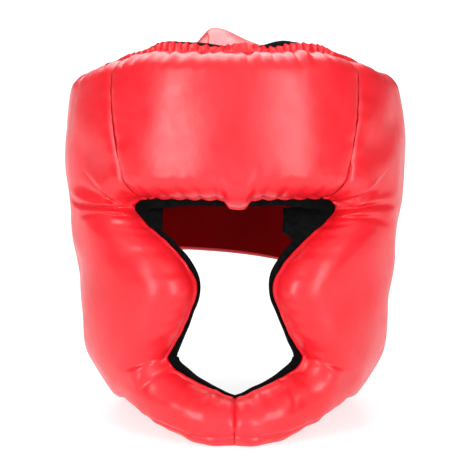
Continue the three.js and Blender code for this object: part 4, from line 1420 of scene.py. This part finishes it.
def build_loops():
    bare = (FLAP_END - LOOP_CLEAR_DEG - PATCH_FROM) / (PATCH_TO - PATCH_FROM)
    grid = patch_outer[1 : int(bare * patch_outer.shape[0]), 1:-1]
    made = mesh_object("loop_patch_loops", grid.reshape(-1, 3), grid_faces(*grid.shape[:2]), PILE)
    values = {"Density": LOOP.per_mm2 / MM**2, "Radius": LOOP.radius * MM, "Thick": LOOP.thick * MM}
    values["Start"] = math.radians(LOOP.start_deg)
    values["Sweep"] = math.radians(LOOP.sweep_deg)
    values["Material"] = PILE
    run_tree(made, *loop_tree(), values)
    return settle(made)


loops = build_loops()


# Stage, light and camera

FLOOR_HALF = 6.0
FLOOR_UNDER = 0.0005        # how far the floor is under the part, so that the two don't share a plane
LIGHT_AIM = Vector((0, 0, 0.12))
CAMERA_AIM = Vector((0, -0.01, 0.110))
CAMERA_AWAY = 2.2
CAMERA_UP = math.radians(12)
FRAME_WIDE = 0.300
SENSOR = 36


def stage_floor():
    glow = dict(Emission_Color=(1, 1, 1, 1), Emission_Strength=0.68)
    made, tree, main, place = shader("pale_floor", Roughness=0.6, Specular_IOR_Level=0.2, **glow)
    shades = (0.2, (0.35, 0.41, 0.42)), (0.8, (0.37, 0.43, 0.44))
    feed(tree, main, Base_Color=ramp(tree, noise(tree, place, 2, 2), *shades))
    signs = ((-1, -1), (1, -1), (1, 1), (-1, 1))
    corners = [(x * FLOOR_HALF, y * FLOOR_HALF, -FLOOR_UNDER) for x, y in signs]
    mesh = bpy.data.meshes.new("floor")
    mesh.from_pydata(corners, [], [(0, 1, 2, 3)])
    mesh.materials.append(made)
    linked("floor", mesh)


def aim(made, place, target):
    made.location = place
    made.rotation_mode = "QUATERNION"
    made.rotation_quaternion = (target - Vector(place)).to_track_quat("-Z", "Y")


def soft_light(name, place, wide, high, power):
    data = bpy.data.lights.new(name, "AREA")
    data.shape = "RECTANGLE"
    data.size, data.size_y = wide, high
    data.energy = power
    made = linked(name, data)
    aim(made, place, LIGHT_AIM)
    made.visible_camera = False


def studio():
    world = bpy.data.worlds.new("studio")
    world.use_nodes = True
    tree = world.node_tree
    feed(tree, tree.nodes["Background"], Color=(1, 1, 1, 1), Strength=0.14)
    bpy.context.scene.world = world
    soft_light("left_panel", (-0.93, -1.2, 0.5), wide=0.36, high=1.3, power=15.5)
    soft_light("right_panel", (0.86, -1.25, 0.5), wide=0.36, high=1.3, power=15)
    soft_light("rear_panel", (-0.2, 1.15, 1.35), wide=1.6, high=1.6, power=33)
    sky = bpy.data.lights.new("sky_panel", "SUN")
    sky.energy = 1.4
    sky.angle = math.radians(100)
    linked("sky_panel", sky).rotation_euler = (math.radians(32), 0, 0)
    bpy.context.scene.view_settings.view_transform = "Standard"


def camera():
    data = bpy.data.cameras.new("camera")
    data.sensor_width = SENSOR
    data.lens = SENSOR * CAMERA_AWAY / FRAME_WIDE
    made = linked("camera", data)
    back = Vector((0, -math.cos(CAMERA_UP), math.sin(CAMERA_UP)))
    aim(made, CAMERA_AIM + back * CAMERA_AWAY, CAMERA_AIM)
    bpy.context.scene.camera = made


stage_floor()
studio()
camera()
